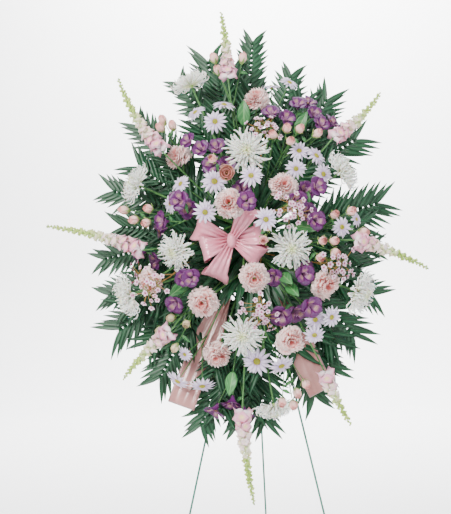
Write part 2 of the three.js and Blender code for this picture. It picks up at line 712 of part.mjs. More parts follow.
// One snapdragon stem from the foam's side, given by the base and tip of its spike and its curl
function snapdragon(node, base, tip, curl) {
  const radius = 2.4;
  const [rootAcross, rootUp] = sideRoot(base[0], base[1]);
  const choices = [0, 9, -9, 18, -18].flatMap((slide) => [0, 14, 28].map((rise) => [slide, rise]));
  const made = settle(choices, node, ([slide, rise]) => {
    const onSide = Math.abs(rootAcross) > FOAM_HALF.across - 1;
    const root = leaned(rootAcross + (onSide ? 0 : slide), rootUp + (onSide ? slide : 0), 22);
    const foot = seen(base[0], base[1], dome(base[0], base[1]) + base[2] + rise);
    const end = seen(tip[0], tip[1], dome(tip[0], tip[1]) + tip[2] + rise);
    const side = toward(foot, end).cross(FRONT).normalize();
    const bend = add(mix(foot, end, 0.5), side, curl);
    const inward = add(root, toward(foot, root), ROOT_DEPTH);
    const stem = [inward, root, mix(root, foot, 0.5), foot, mix(foot, bend, 0.3)];
    const bars = [...barsAlong([inward, root, foot], radius + 0.4),
      { a: foot, b: mix(foot, bend, 0.6), r: 21 }, { a: mix(foot, bend, 0.6), b: mix(bend, end, 0.4), r: 15 },
      { a: mix(bend, end, 0.4), b: end, r: 8 }];
    return { stem, path: [foot, bend, end], bars };
  });
  foamCuts.push(tube(made.stem.slice(0, 3), radius + 2 * HOLE_MARGIN, 3));
  return union([tube(made.stem, radius, 3), spike(made.path, Math.abs(base[0]))]);
}

// Ribbon

// A thin band along a line of points, with its half widths and the direction that its width lies in
function band(points, widths, across) {
  const corners = [];
  points.forEach((p, i) => {
    const along = toward(points[Math.max(0, i - 1)], points[Math.min(points.length - 1, i + 1)]);
    const wide = add(across[i], along, -across[i].dot(along)).normalize();
    const thin = along.clone().cross(wide).multiplyScalar(RIBBON_THICK / 2);
    for (const [w, s] of [[-1, -1], [1, -1], [1, 1], [-1, 1]]) {
      corners.push(add(add(p, wide, w * widths[i]), thin, s));
    }
  });
  const faces = [[0, 1, 2], [0, 2, 3]];
  const last = (points.length - 1) * 4;
  faces.push([last, last + 2, last + 1], [last, last + 3, last + 2]);
  for (let i = 0; i < points.length - 1; i += 1) {
    for (let k = 0; k < 4; k += 1) {
      const next = (k + 1) % 4;
      const low = i * 4;
      faces.push([low + k, low + 4 + next, low + next], [low + k, low + 4 + k, low + 4 + next]);
    }
  }
  return solid(corners, faces);
}

// The room a band takes: five bars side by side along it
function claimBand(points, widths, across, node) {
  points.slice(1).forEach((p, i) => {
    for (const way of [-0.85, -0.42, 0, 0.42, 0.85]) {
      const a = add(points[i], across[i], way * widths[i]);
      claim([{ a, b: add(p, across[i + 1], way * widths[i + 1]), r: 6 }], node);
    }
  });
}

const LOOP_STEPS = 6;
const LOOPS = [[-84, 31, 26], [-70, -22, 30], [-40, -88, 26], [70, 15, 32], [66, -42, 20], [40, 76, 24]];

// One loop of the bow, out from the knot and back to it
function loop(node, middle, [across, up, bulge], layer) {
  const length = Math.hypot(across, up);
  const out = VIEW_RIGHT.clone().multiplyScalar(across / length).addScaledVector(VIEW_UP, up / length);
  const near = SIGHT.clone().negate();
  const knot = add(middle, near, (layer - 2.5) * 6);
  const wide = out.clone().cross(near).normalize();
  const points = [];
  const widths = [];
  for (let k = 0; k <= LOOP_STEPS; k += 1) {
    const t = k / LOOP_STEPS;
    const full = Math.sin(Math.PI * t);
    points.push(add(add(knot, out, length * full ** 0.75 + 3), near, bulge * Math.sin(2 * Math.PI * t)));
    widths.push(5 + (RIBBON_HALF - 5) * full ** 2.2);
  }
  claimBand(points, widths, points.map(() => wide), node);
  return band(points, widths, points.map(() => wide));
}

function bow(node) {
  const knot = seen(BOW.across, BOW.up, BOW.proud);
  const root = leaned(...frontRoot(BOW.across * 0.4, BOW.up), FOAM_HALF.deep);
  const pick = [add(root, toward(knot, root), ROOT_DEPTH), root, knot];
  foamCuts.push(tube(pick.slice(0, 3), 1.6 + HOLE_MARGIN, STEM_SIDES));
  claim(barsAlong(pick, 2), node);
  const near = SIGHT.clone().negate();
  const tie = tube([add(knot, near, -24), add(knot, near, 24)], [13, 13], 8);
  const loops = LOOPS.map((item, layer) => loop(node, knot, item, layer));
  return union([tube(pick, 1.6, STEM_SIDES), tie, ...loops]);
}

// A tail from a hole in the foam's lower side, widening to the full ribbon
function tail(node, places) {
  const points = places.map(([across, up, proud]) => seen(across, up, proud));
  const [rootAcross, rootUp] = sideRoot(places[0][0], places[0][1]);
  const root = leaned(rootAcross, rootUp, places[0][2]);
  const inward = add(root, toward(points[0], root), ROOT_DEPTH);
  const wire = [inward, root, points[0], mix(points[0], points[1], 0.4)];
  foamCuts.push(tube(wire.slice(0, 3), 1.6 + HOLE_MARGIN, STEM_SIDES));
  claim(barsAlong(wire, 2), node);
  const widths = points.map((_, i) => (i === 0 ? 7 : Math.min(RIBBON_HALF, 14 + i * 14)));
  const across = points.map((p, i) => {
    const along = toward(points[Math.max(0, i - 1)], points[Math.min(points.length - 1, i + 1)]);
    return along.cross(FRONT).normalize();
  });
  claimBand(points, widths, across, node);
  return union([tube(wire, 1.6, STEM_SIDES), band(points, widths, across)]);
}

// Materials

function finish(colour, roughness, metalness = 0) {
  return new THREE.MeshStandardMaterial({ color: colour, roughness, metalness });
}

const FINISHES = {
  wire: finish(0x0f6650, 0.4, 0.3),
  foam: finish(0x2f6b3a, 0.95),
  plastic: finish(0x1f5a33, 0.5),
  mum: finish(0xf4f6ea, 0.6),
  carnation: finish(0xf3b9cb, 0.75),
  daisy: finish(0xe9dcee, 0.6),
  floret: finish(0xb85fae, 0.5),
  bud: finish(0xf5c9c0, 0.55),
  wax: finish(0xf4e6ee, 0.5),
  snapdragon: finish(0xf2b6cf, 0.6),
  frond: finish(0x2f8a52, 0.45),
  ribbon: finish(0xd79aa2, 0.3),
};

const arrangement = new THREE.Group();

// The largest closed surface of a fused solid: sealed hollows are filled and loose scraps dropped
function outerShell(mesh) {
  const { vertProperties: places, triVerts: faces } = mesh;
  const parent = Array.from({ length: places.length / 3 }, (_, i) => i);
  const find = (i) => {
    let k = i;
    while (parent[k] !== k) k = parent[k];
    parent[i] = k;
    return k;
  };
  const corner = (i) => vec(places[i * 3], places[i * 3 + 1], places[i * 3 + 2]);
  for (let f = 0; f < faces.length; f += 3) {
    parent[find(faces[f])] = find(faces[f + 1]);
    parent[find(faces[f + 1])] = find(faces[f + 2]);
  }
  const volumes = new Map();
  for (let f = 0; f < faces.length; f += 3) {
    const [a, b, c] = [corner(faces[f]), corner(faces[f + 1]), corner(faces[f + 2])];
    const shell = find(faces[f]);
    volumes.set(shell, (volumes.get(shell) || 0) + a.dot(b.cross(c)) / 6);
  }
  const [largest] = [...volumes.entries()].sort((one, two) => two[1] - one[1])[0];
  const kept = [];
  for (let f = 0; f < faces.length; f += 3) {
    if (find(faces[f]) === largest) kept.push(faces[f], faces[f + 1], faces[f + 2]);
  }
  return new Uint32Array(kept);
}

const SHORT_EDGE = 0.15;

// Draws together the ends of each edge too short to build, where the surface stays closed by it
function withoutShortEdges(places, triangles) {
  const corner = (i) => vec(places[i * 3], places[i * 3 + 1], places[i * 3 + 2]);
  let faces = [];
  for (let f = 0; f < triangles.length; f += 3) {
    faces.push([triangles[f], triangles[f + 1], triangles[f + 2]]);
  }
  for (;;) {
    const beside = new Map();
    for (const face of faces) {
      for (const k of face) {
        if (!beside.has(k)) beside.set(k, new Set());
        face.forEach((other) => other !== k && beside.get(k).add(other));
      }
    }
    const foldable = ([a, b]) => corner(a).distanceTo(corner(b)) < SHORT_EDGE
      && [...beside.get(a)].filter((k) => beside.get(b).has(k)).length === 2;
    const edges = faces.flatMap(([a, b, c]) => [[a, b], [b, c], [c, a]]);
    const short = edges.find(foldable);
    if (!short) return new Uint32Array(faces.flat());
    const [kept, gone] = short;
    const moved = faces.map((face) => face.map((k) => (k === gone ? kept : k)));
    faces = moved.filter((face) => new Set(face).size === 3);
  }
}

function put(name, shape, material) {
  const mesh = shape.getMesh();
  const faces = withoutShortEdges(mesh.vertProperties, outerShell(mesh));
  const geometry = new THREE.BufferGeometry();
  geometry.setAttribute('position', new THREE.BufferAttribute(mesh.vertProperties, 3));
  geometry.setIndex(new THREE.BufferAttribute(faces, 1));
  const node = new THREE.Mesh(geometry, material);
  node.name = name;
  arrangement.add(node);
}

put('easel_front_frame', easelFrame(), FINISHES.wire);
put('easel_rear_leg', rearLeg(), FINISHES.wire);
put('foam_cage', cage(), FINISHES.plastic);
put('ribbon_bow', bow('ribbon_bow'), FINISHES.ribbon);
put('ribbon_tail_left', tail('ribbon_tail_left', [[-58, -135, 20], [-85, -190, 26], [-118, -270, 32],
  [-150, -345, 34], [-175, -415, 30]]), FINISHES.ribbon);
put('ribbon_tail_right', tail('ribbon_tail_right', [[70, -135, 20], [95, -200, 26], [125, -270, 32],
  [152, -330, 30], [178, -378, 26]]), FINISHES.ribbon);

// Fronds: node, how far its layer stands proud of the hub, then [rib start, rib end, leaflet length] for each
const FRONDS = [
  ['fronds_top', -27, [[-98, 350, -108, 447, 90], [-2, 400, 4, 495, 62], [-112, 345, -178, 390, 62]]],
  ['fronds_top_right', -9, [[72, 325, 100, 412, 66], [130, 262, 190, 352, 80], [198, 225, 262, 252, 84]]],
  ['fronds_right', -27, [[235, 75, 318, 92, 88], [240, -38, 300, -18, 66], [235, -125, 306, -138, 74]]],
  ['fronds_lower_right', -8, [[126, -318, 160, -392, 74], [156, -268, 208, -330, 66],
    [205, -150, 258, -240, 84]]],
  ['fronds_bottom', 3, [[29, -379, 35, -455, 76], [-40, -401, -38, -470, 58], [-84, -385, -126, -465, 72]]],
  ['fronds_lower_left', -6, [[-190, -270, -228, -345, 82], [-245, -170, -330, -225, 92],
    [-262, -120, -355, -138, 70]]],
  ['fronds_left', 12, [[-278, -20, -368, -48, 66], [-272, 122, -345, 122, 76], [-212, 236, -278, 284, 78]]],
];
for (const [name, proud, list] of FRONDS) put(name, fronds(name, proud, list), FINISHES.frond);

const SNAPDRAGONS = [
  ['snapdragon_top', [-58, 405, 20], [-75, 570, 10], 6],
  ['snapdragon_upper_left', [-222, 222, 20], [-332, 405, 20], -26],
  ['snapdragon_left', [-270, -25, 20], [-512, 35, 10], 14],
  ['snapdragon_lower_left', [-200, -225, 20], [-320, -348, 30], 12],
  ['snapdragon_bottom', [-22, -420, 22], [8, -662, 8], 10],
  ['snapdragon_lower_right', [182, -325, 25], [250, -462, 20], 8],
  ['snapdragon_right', [258, 0, 20], [444, -72, 10], -16],
  ['snapdragon_upper_right', [205, 255, 20], [322, 368, 20], 20],
];
for (const [name, base, tip, curl] of SNAPDRAGONS) {
  put(name, snapdragon(name, base, tip, curl), FINISHES.snapdragon);
}

// Heads: node, kind, stem radius, then clusters of [across, up, lift, facing, size]
const SPRAYS = [
  ['mums_top', 'mum', 2.8, [[[-12, 222, 10, 0.75, 1]], [[-152, 392, 0, 0.05, 0.9]]]],
  ['mums_left', 'mum', 2.8, [[[-188, -15, 6, 0.35, 0.88]], [[-288, 140, 0, 0.25, 0.9]]]],
  ['mums_lower_left', 'mum', 2.8, [[[-308, -138, 0, 0.15, 1]]]],
  ['mums_right', 'mum', 2.8, [[[100, -20, 0, 0.7, 0.94]], [[228, 172, 0, 0.05, 0.95]]]],
  ['mums_lower_right', 'mum', 2.8, [[[272, -132, 0, 0.05, 1]]]],
  ['mums_bottom', 'mum', 2.8, [[[-22, -238, 10, 0.75, 0.9]], [[45, -420, 0, 0.1, 0.85]]]],
  ['carnations_top', 'carnation', 2.6, [[[15, 352, 0, 0.45, 0.98]]]],
  ['carnations_left', 'carnation', 2.6, [[[-190, 202, 0, 0.45, 0.94]], [[-252, -104, -6, 0.3, 0.93]]]],
  ['carnations_middle', 'carnation', 2.6, [[[-55, 92, 25, 0.6, 1.02]], [[8, -95, 25, 0.65, 0.98]]]],
  ['carnations_right', 'carnation', 2.6, [[[88, 135, 5, 0.55, 0.95]], [[185, -112, 10, 0.45, 0.98]]]],
  ['carnations_lower', 'carnation', 2.6, [[[110, -250, 5, 0.5, 0.95]], [[-85, -285, 5, 0.5, 0.95]],
    [[-120, -155, 20, 0.55, 1]]]],
  ['daisies_top_left', 'daisy', 2.2, [[[-68, 336, 0, 0.2, 0.95], [-138, 318, 0, 0.3, 0.85],
    [-90, 296, 8, 0.7, 0.92]]]],
  ['daisies_top_right', 'daisy', 2.2, [[[95, 392, 0, 0.3, 0.85], [50, 382, 0, 0.1, 0.8]]]],
  ['daisies_right', 'daisy', 2.2, [[[120, 222, 0, 0.5, 0.85], [162, 210, 0, 0.3, 0.85], [186, 165, 5, 0.3, 0.85],
    [112, 178, 8, 0.5, 0.82]]]],
  ['daisies_middle', 'daisy', 2.2, [[[0, 160, 10, 0.5, 0.9], [30, 45, 30, 0.8, 0.85]]]],
  ['daisies_left', 'daisy', 2.2, [[[-92, 146, 12, 0.6, 1], [-175, 140, 0, 0.4, 0.82], [-200, 92, 0, 0.3, 0.82],
    [-115, 70, 25, 0.8, 0.9]]]],
  ['daisies_lower_right', 'daisy', 2.2, [[[160, -198, 0, 0.5, 0.82], [200, -192, 0, 0.3, 0.82],
    [158, -236, 5, 0.5, 0.8]]]],
  ['daisies_bottom', 'daisy', 2.2, [[[15, -302, 5, 0.7, 1.15], [75, -312, 0, 0.1, 1]]]],
  ['daisies_lower_left', 'daisy', 2.2, [[[-122, -362, 0, 0.1, 1], [-182, -350, 0, 0.1, 0.98],
    [-165, -285, 0, 0.3, 0.6]]]],
  ['daisies_far_right', 'daisy', 2.2, [[[226, 20, 0, 0.2, 0.8], [262, 52, 0, 0.2, 0.6]]]],
  ['alstroemeria_upper_left', 'floret', 2.4, [[[-158, 248, 0, 0.4, 0.85], [-126, 228, 0, 0.5, 0.9]],
    [[-98, 188, 0, 0.5, 1], [-60, 186, 5, 0.6, 1], [-85, 232, 0, 0.5, 1]]]],
  ['alstroemeria_left', 'floret', 2.4, [[[-180, 100, 0, 0.4, 1], [-156, 78, 5, 0.4, 1]],
    [[-215, 55, 0, 0.3, 1], [-228, 24, 0, 0.3, 1]]]],
  ['alstroemeria_lower_left', 'floret', 2.4, [[[-282, -30, 0, 0.3, 1], [-226, -52, 0, 0.3, 0.9]],
    [[-175, -88, 0, 0.4, 0.9], [-150, -94, 0, 0.4, 0.9], [-190, -158, 0, 0.4, 1]]], [[-182, -124, 0, 62, 15]]],
  ['alstroemeria_top_right', 'floret', 2.4, [[[50, 318, 0, 0.3, 0.95], [76, 304, 0, 0.4, 0.95]],
    [[118, 340, 0, 0.4, 0.9], [144, 344, 0, 0.4, 0.9], [158, 316, 0, 0.4, 0.9]],
    [[175, 290, 0, 0.3, 0.95], [202, 294, 0, 0.3, 0.95]]], [[125, 292, 0, 66, 15]]],
  ['alstroemeria_middle', 'floret', 2.4, [[[-10, 126, 15, 0.6, 0.95], [-24, 98, 20, 0.6, 0.95]]]],
  ['alstroemeria_right', 'floret', 2.4, [[[110, 106, 5, 0.4, 0.95], [136, 124, 0, 0.4, 0.95],
    [166, 134, 0, 0.3, 0.95]], [[140, 70, 0, 0.4, 0.95], [162, 50, 0, 0.3, 0.95]]], [[138, 32, 0, 70, 17]]],
  ['alstroemeria_lower_right', 'floret', 2.4, [[[120, -70, 5, 0.4, 1], [146, -86, 0, 0.4, 1],
    [56, -92, 10, 0.4, 0.9]], [[76, -188, 5, 0.3, 1.1], [112, -180, 0, 0.3, 1.1], [150, -165, 0, 0.3, 1.1]]],
    [[88, -96, 0, 62, 15], [104, -124, 10, 58, 14]]],
  ['alstroemeria_bottom', 'floret', 2.4, [[[-48, -408, 0, 0.1, 1.05], [-78, -426, 0, 0.1, 1.05],
    [-22, -430, 0, 0.1, 1.05]]], [[-50, -358, 0, 60, 15]]],
  ['roses_top', 'bud', 2, [[[-62, 475, 20, 0.1, 1], [-90, 446, 20, 0.1, 1], [-30, 446, 20, 0.1, 1],
    [-80, 416, 20, 0.2, 1]]], [[-18, 318, 0, 64, 17]]],
  ['roses_left', 'bud', 2, [[[-228, 268, 10, 0.1, 1], [-200, 272, 10, 0.1, 1], [-216, 292, 10, 0.1, 1]],
    [[-308, 74, 10, 0.1, 1], [-284, 52, 10, 0.1, 1], [-250, 78, 10, 0.1, 1], [-256, 46, 10, 0.2, 1]]]],
  ['roses_upper', 'bud', 2, [[[-95, 214, 20, 0.3, 1], [-62, 168, 20, 0.8, 1.2]],
    [[58, 258, 10, 0.3, 1], [88, 272, 10, 0.3, 1], [118, 272, 10, 0.3, 1], [96, 244, 10, 0.3, 1],
      [158, 262, 10, 0.2, 1]]]],
  ['roses_right', 'bud', 2, [[[40, 32, 34, 0.4, 1], [40, 2, 34, 0.4, 1]],
    [[168, -2, 10, 0.2, 1], [200, -2, 10, 0.1, 1], [170, -40, 10, 0.2, 1], [204, -28, 10, 0.1, 1]],
    [[212, 52, 10, 0.1, 1], [244, 70, 10, 0.1, 1], [272, 22, 10, 0.1, 1]]]],
  ['roses_lower_left', 'bud', 2, [[[-192, -192, 10, 0.1, 0.9], [-160, -206, 10, 0.2, 0.9],
    [-220, -220, 10, 0.1, 0.9], [-206, -242, 10, 0.1, 0.9], [-186, -262, 10, 0.1, 0.9]]]],
  ['roses_bottom', 'bud', 2, [[[78, -398, 10, 0.1, 0.95], [104, -404, 10, 0.1, 0.95], [112, -374, 10, 0.1, 0.95],
    [132, -352, 10, 0.1, 0.95]]]],
];
for (const [name, kind, radius, clusters, leaves] of SPRAYS) {
  put(name, spray(name, kind, radius, clusters, leaves), FINISHES[kind]);
}

// Waxflower: node, then the middle of each sprig
const SPRIGS = [
  ['waxflower_upper', [[32, 286, 15], [110, 78, 22]]],
  ['waxflower_left', [[-270, -112, 15]]],
  ['waxflower_right', [[218, -66, 15], [22, -185, 20]]],
];
for (const [name, places] of SPRIGS) put(name, spray(name, 'wax', 1.7, places.map(sprig)), FINISHES.wax);

put('foam_block', foamBlock(), FINISHES.foam);

const bounds = new THREE.Box3().setFromObject(arrangement);
arrangement.position.set(-(bounds.min.x + bounds.max.x) / 2, -(bounds.min.y + bounds.max.y) / 2, -bounds.min.z);
arrangement.updateMatrixWorld(true);

export default arrangement;
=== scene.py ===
"""A standing spray of cut flowers with a satin bow on a leaning wire easel.

Places are worked out in millimetres in the same frame as the solids, and every piece is made
as whole numpy arrays: petals and leaves are grids of two parameters, and stems are rings
carried along a path."""
import math

import bpy
import numpy as np
from mathutils import Matrix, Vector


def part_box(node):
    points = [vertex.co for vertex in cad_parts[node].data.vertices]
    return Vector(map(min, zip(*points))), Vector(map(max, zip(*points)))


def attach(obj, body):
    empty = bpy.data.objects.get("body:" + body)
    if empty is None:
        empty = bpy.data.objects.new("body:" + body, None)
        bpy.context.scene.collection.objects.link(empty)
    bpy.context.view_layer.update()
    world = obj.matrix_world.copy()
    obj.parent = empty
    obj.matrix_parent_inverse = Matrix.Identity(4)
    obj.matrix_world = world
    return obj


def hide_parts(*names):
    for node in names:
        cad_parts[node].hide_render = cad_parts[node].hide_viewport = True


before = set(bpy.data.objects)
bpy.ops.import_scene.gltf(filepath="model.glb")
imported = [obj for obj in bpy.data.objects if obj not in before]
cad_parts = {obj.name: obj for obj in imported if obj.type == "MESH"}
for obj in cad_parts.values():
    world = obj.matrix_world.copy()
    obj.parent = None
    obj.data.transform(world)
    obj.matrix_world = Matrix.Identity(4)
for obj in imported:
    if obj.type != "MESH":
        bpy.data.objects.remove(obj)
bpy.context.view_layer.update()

MM = 0.001
LEAN = math.radians(12)
HUB = np.array([0.0, 0.0, 1134.5])
FOAM_ACROSS, FOAM_UP, FOAM_DEEP = 52, 120, 40

ROOT_DEPTH = 20
CLEARANCE = 1.2
NESTLE = 3
ROOT_RISE = 9
ROOT_STOUT = 1.5
STALK_SLIM = 0.65

DOME_MIDDLE = 178
DOME_RIM = 30
DOME_RADIUS = 470

VIEW_DISTANCE = 3100
VIEW_TURN = math.radians(5)
VIEW_ROLL = math.radians(1.6)
VIEW_ACROSS, VIEW_RISE = -64, -42
VIEW_FIELD = 1285

RIBBON_HALF = 34
BOW = (-48, 0, 126)


def vec(*xyz):
    """xyz as an array of floats."""
    return np.array(xyz, float)


def unit(v):
    """v / |v|."""
    return v / np.linalg.norm(v, axis=-1, keepdims=True)


def mix(a, b, t):
    """a + (b - a) t."""
    return a + (b - a) * t


def toward(a, b):
    """The unit direction from a to b."""
    return unit(b - a)


ACROSS = vec(1, 0, 0)
SLOPE = vec(0, math.sin(LEAN), math.cos(LEAN))
FRONT = vec(0, -math.cos(LEAN), math.sin(LEAN))
UPRIGHT = vec(0, 0, 1)
SIGHT = vec(-math.sin(VIEW_TURN), math.cos(VIEW_TURN), 0)
LEVEL_RIGHT = vec(math.cos(VIEW_TURN), math.sin(VIEW_TURN), 0)
VIEW_RIGHT = LEVEL_RIGHT * math.cos(VIEW_ROLL) - UPRIGHT * math.sin(VIEW_ROLL)
VIEW_UP = LEVEL_RIGHT * math.sin(VIEW_ROLL) + UPRIGHT * math.cos(VIEW_ROLL)
VIEWPOINT = HUB + VIEW_RIGHT * VIEW_ACROSS + VIEW_UP * VIEW_RISE - SIGHT * VIEW_DISTANCE

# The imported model's frame lies beside this one: the foam block's middle is the hub in both
FOAM_LOW, FOAM_HIGH = (np.array(corner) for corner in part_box("foam_block"))
SHIFT = (FOAM_LOW + FOAM_HIGH) / 2 - HUB * MM


def leaned(across, up, proud):
    """hub + across * ACROSS + up * SLOPE + proud * FRONT."""
    return HUB + ACROSS * across + SLOPE * up + FRONT * proud


def seen(across, up, proud):
    """The point of the leaned plane at proud on the ray through across, up as the camera sees them."""
    ray = HUB + VIEW_RIGHT * across + VIEW_UP * up - VIEWPOINT
    reach = (proud - (VIEWPOINT - HUB) @ FRONT) / (ray @ FRONT)
    return VIEWPOINT + ray * reach


def dome(across, up):
    """rim + (middle - rim) * cos(90 degrees * distance / radius)."""
    share = min(1, math.hypot(across, up) / DOME_RADIUS)
    return DOME_RIM + (DOME_MIDDLE - DOME_RIM) * math.cos(share * math.pi / 2)


def any_normal(direction):
    """A unit direction square to the given one."""
    other = vec(1, 0, 0) if abs(direction[0]) < 0.8 else vec(0, 1, 0)
    return unit(np.cross(other, direction))


# Room for every head and stem, in the order in which the solids were set

TAKEN = {"start": np.zeros((0, 3)), "end": np.zeros((0, 3)), "radius": np.zeros(0),
         "owner": np.array([], str)}


def gaps(one, two):
    """Surface distance between each round-ended bar of one and each of two, by their closest points."""
    (a, b, r), (c, d, q) = one, two
    u, v, w = (b - a)[:, None], (d - c)[None], a[:, None] - c[None]
    uu, vv = (u * u).sum(-1), (v * v).sum(-1)
    uv, uw, vw = (u * v).sum(-1), (u * w).sum(-1), (v * w).sum(-1)
    slack = uu * vv - uv * uv
    wide, thick = slack > 1e-6, (vv > 1e-6) & (uu > -1)
    s = np.where(wide, np.clip((uv * vw - vv * uw) / np.where(wide, slack, 1), 0, 1), 0)
    t = np.where(thick, (uv * s + vw) / np.where(thick, vv, 1), 0)
    held = (t < 0) | (t > 1) | ~thick
    t_end = np.clip(t, 0, 1)
    long = (uu > 1e-6) & (t_end > -1)
    s_end = np.where(long, np.clip((uv * t_end - uw) / np.where(long, uu, 1), 0, 1), 0)
    s, t = np.where(held, s_end, s)[..., None], np.where(held, t_end, t)[..., None]
    return np.linalg.norm(w + u * s - v * t, axis=-1) - r[:, None] - q[None]


def arrays(bars):
    """Starts, ends and radii of bars as three arrays."""
    return (np.array([bar[0] for bar in bars]), np.array([bar[1] for bar in bars]),
            np.array([bar[2] for bar in bars], float))


def claim(bars, node):
    """Adds bars to the room that is taken, in the node's name."""
    for title, values in zip(("start", "end", "radius"), arrays(bars)):
        TAKEN[title] = np.concatenate([TAKEN[title], values])
    TAKEN["owner"] = np.concatenate([TAKEN["owner"], np.full(len(bars), node)])


def settle(choices, node, build, near=()):
    """The first choice whose bars clear every other node, or else the clearest one."""
    other = TAKEN["owner"] != node
    taken = tuple(TAKEN[title][other] for title in ("start", "end", "radius"))
    best = None
    for choice in choices:
        made = build(choice)
        free = gaps(arrays(made["bars"]), taken).min() if len(taken[2]) else math.inf
        if near and made.get("space"):
            free = min(free, gaps(arrays(made["space"]), arrays(near)).min() + NESTLE + CLEARANCE)
        if best is None or free > best[0]:
            best = (free, made)
        if free >= CLEARANCE:
            break
    claim(best[1]["bars"], node)
    return best[1]


def bars_along(points, radius):
    """A round-ended bar for each stretch between two points."""
    return [(a, b, radius) for a, b in zip(points, points[1:])]


DEPTHS = [0, 10, -10, 20, -20, 30, -30, 42, -42, 54]
SWAYS = [0, 14, -14, 28, -28, 44, -44]
NUDGES = [(0, 0), (7, 0), (-7, 0), (0, 7), (0, -7), (7, 7), (-7, 7), (7, -7), (-7, -7),
          (13, 0), (-13, 0), (0, 13), (0, -13)]


def cost(move):
    """How far a move goes from the photo's place: |depth| + 2 |shift| + 0.7 |sway|."""
    sway = move[3] if len(move) > 3 else 0
    return abs(move[0]) + 2 * math.hypot(move[1], move[2]) + 0.7 * abs(sway)


HEAD_MOVES = sorted([(depth, dx, dy) for depth in DEPTHS for dx, dy in NUDGES], key=cost)
STEM_MOVES = sorted([(*move, sway) for move in HEAD_MOVES for sway in SWAYS], key=cost)
FORK_MOVES = [(depth, sway) for depth in (0, -15, 15, -30, 30) for sway in SWAYS]
SHIFTS = [(0, 0), (6, 0), (-6, 0), (0, 8), (0, -8), (6, 8), (-6, -8), (6, -8), (-6, 8), (12, 0), (-12, 0),
          (0, 16), (0, -16), (12, 12), (-12, -12), (12, -12), (-12, 12)]
NECKS = {"mum": -17, "carnation": -26, "daisy": -7, "floret": -20, "bud": -5, "wax": -4}


def bezier(start, bend, end, count):
    """(1-t)^2 start + 2 t (1-t) bend + t^2 end for count values of t."""
    t = np.linspace(0, 1, count)[:, None]
    return (1 - t) ** 2 * start + 2 * t * (1 - t) * bend + t ** 2 * end


def stem_bend(start, neck, axis, sway):
    """The stem's middle control point: 0.4 of its reach behind the neck, and sway to one side."""
    reach = np.linalg.norm(neck - start)
    side = unit(np.cross(toward(start, neck), FRONT))
    return neck - axis * 0.4 * reach + side * sway


def stem_turns(start, bend, neck):
    """The curve's start, its point at t = 0.6 and its end."""
    t = 0.6
    middle = (1 - t) ** 2 * start + 2 * t * (1 - t) * bend + t ** 2 * neck
    return [start, middle, neck]


def head_room(kind, base, axis, size):
    """Bars that fill a head: three crossed ones for a flat head, and one ball for any other."""
    if kind in ("mum", "daisy"):
        radius = (65 if kind == "mum" else 30) * size
        middle = base + axis * (4 if kind == "mum" else 0) * size
        first = any_normal(axis)
        side = np.cross(axis, first)
        arms = [first * math.cos(k * math.pi / 3) + side * math.sin(k * math.pi / 3) for k in range(3)]
        return [(middle - arm * 0.74 * radius, middle + arm * 0.74 * radius, 0.28 * radius) for arm in arms]
    height, radius = {"carnation": (3, 35), "floret": (1, 23), "bud": (10, 14), "wax": (0, 7)}[kind]
    middle = base + axis * height * size
    return [(middle, middle, radius * size)]


def head_at(kind, head, move, start):
    """A head's place on the dome, and its axis between the stem's direction and the viewer's."""
    across, up, lift, facing = head[:4]
    size = head[4] if len(head) > 4 else 1
    depth, dx, dy = move[:3]
    place = seen(across + dx, up + dy, dome(across, up) + lift + depth)
    axis = unit(toward(start, place) * (1 - facing) + toward(place, VIEWPOINT) * facing)
    return {"place": place, "axis": axis, "size": size, "neck": place + axis * NECKS[kind] * size}


def set_leaf(node, start, leaf):
    """Settles a broad leaf: its middle on the dome, its length along the stalk."""
    across, up, lift, length, half = leaf

    def build(depth):
        middle = seen(across, up, dome(across, up) + lift + depth)
        along = toward(start, middle)
        foot, tip = middle - along * length / 2, middle + along * length / 2
        flat = unit(np.cross(along, FRONT)) * half * 0.6
        edges = [(middle + flat * way, middle, half * 0.45) for way in (-1, 1)]
        return {"foot": foot, "tip": tip, "half": half, "start": start,
                "bars": [(start, foot, 2), (foot, tip, 4), *edges]}

    return settle(DEPTHS, node, build)


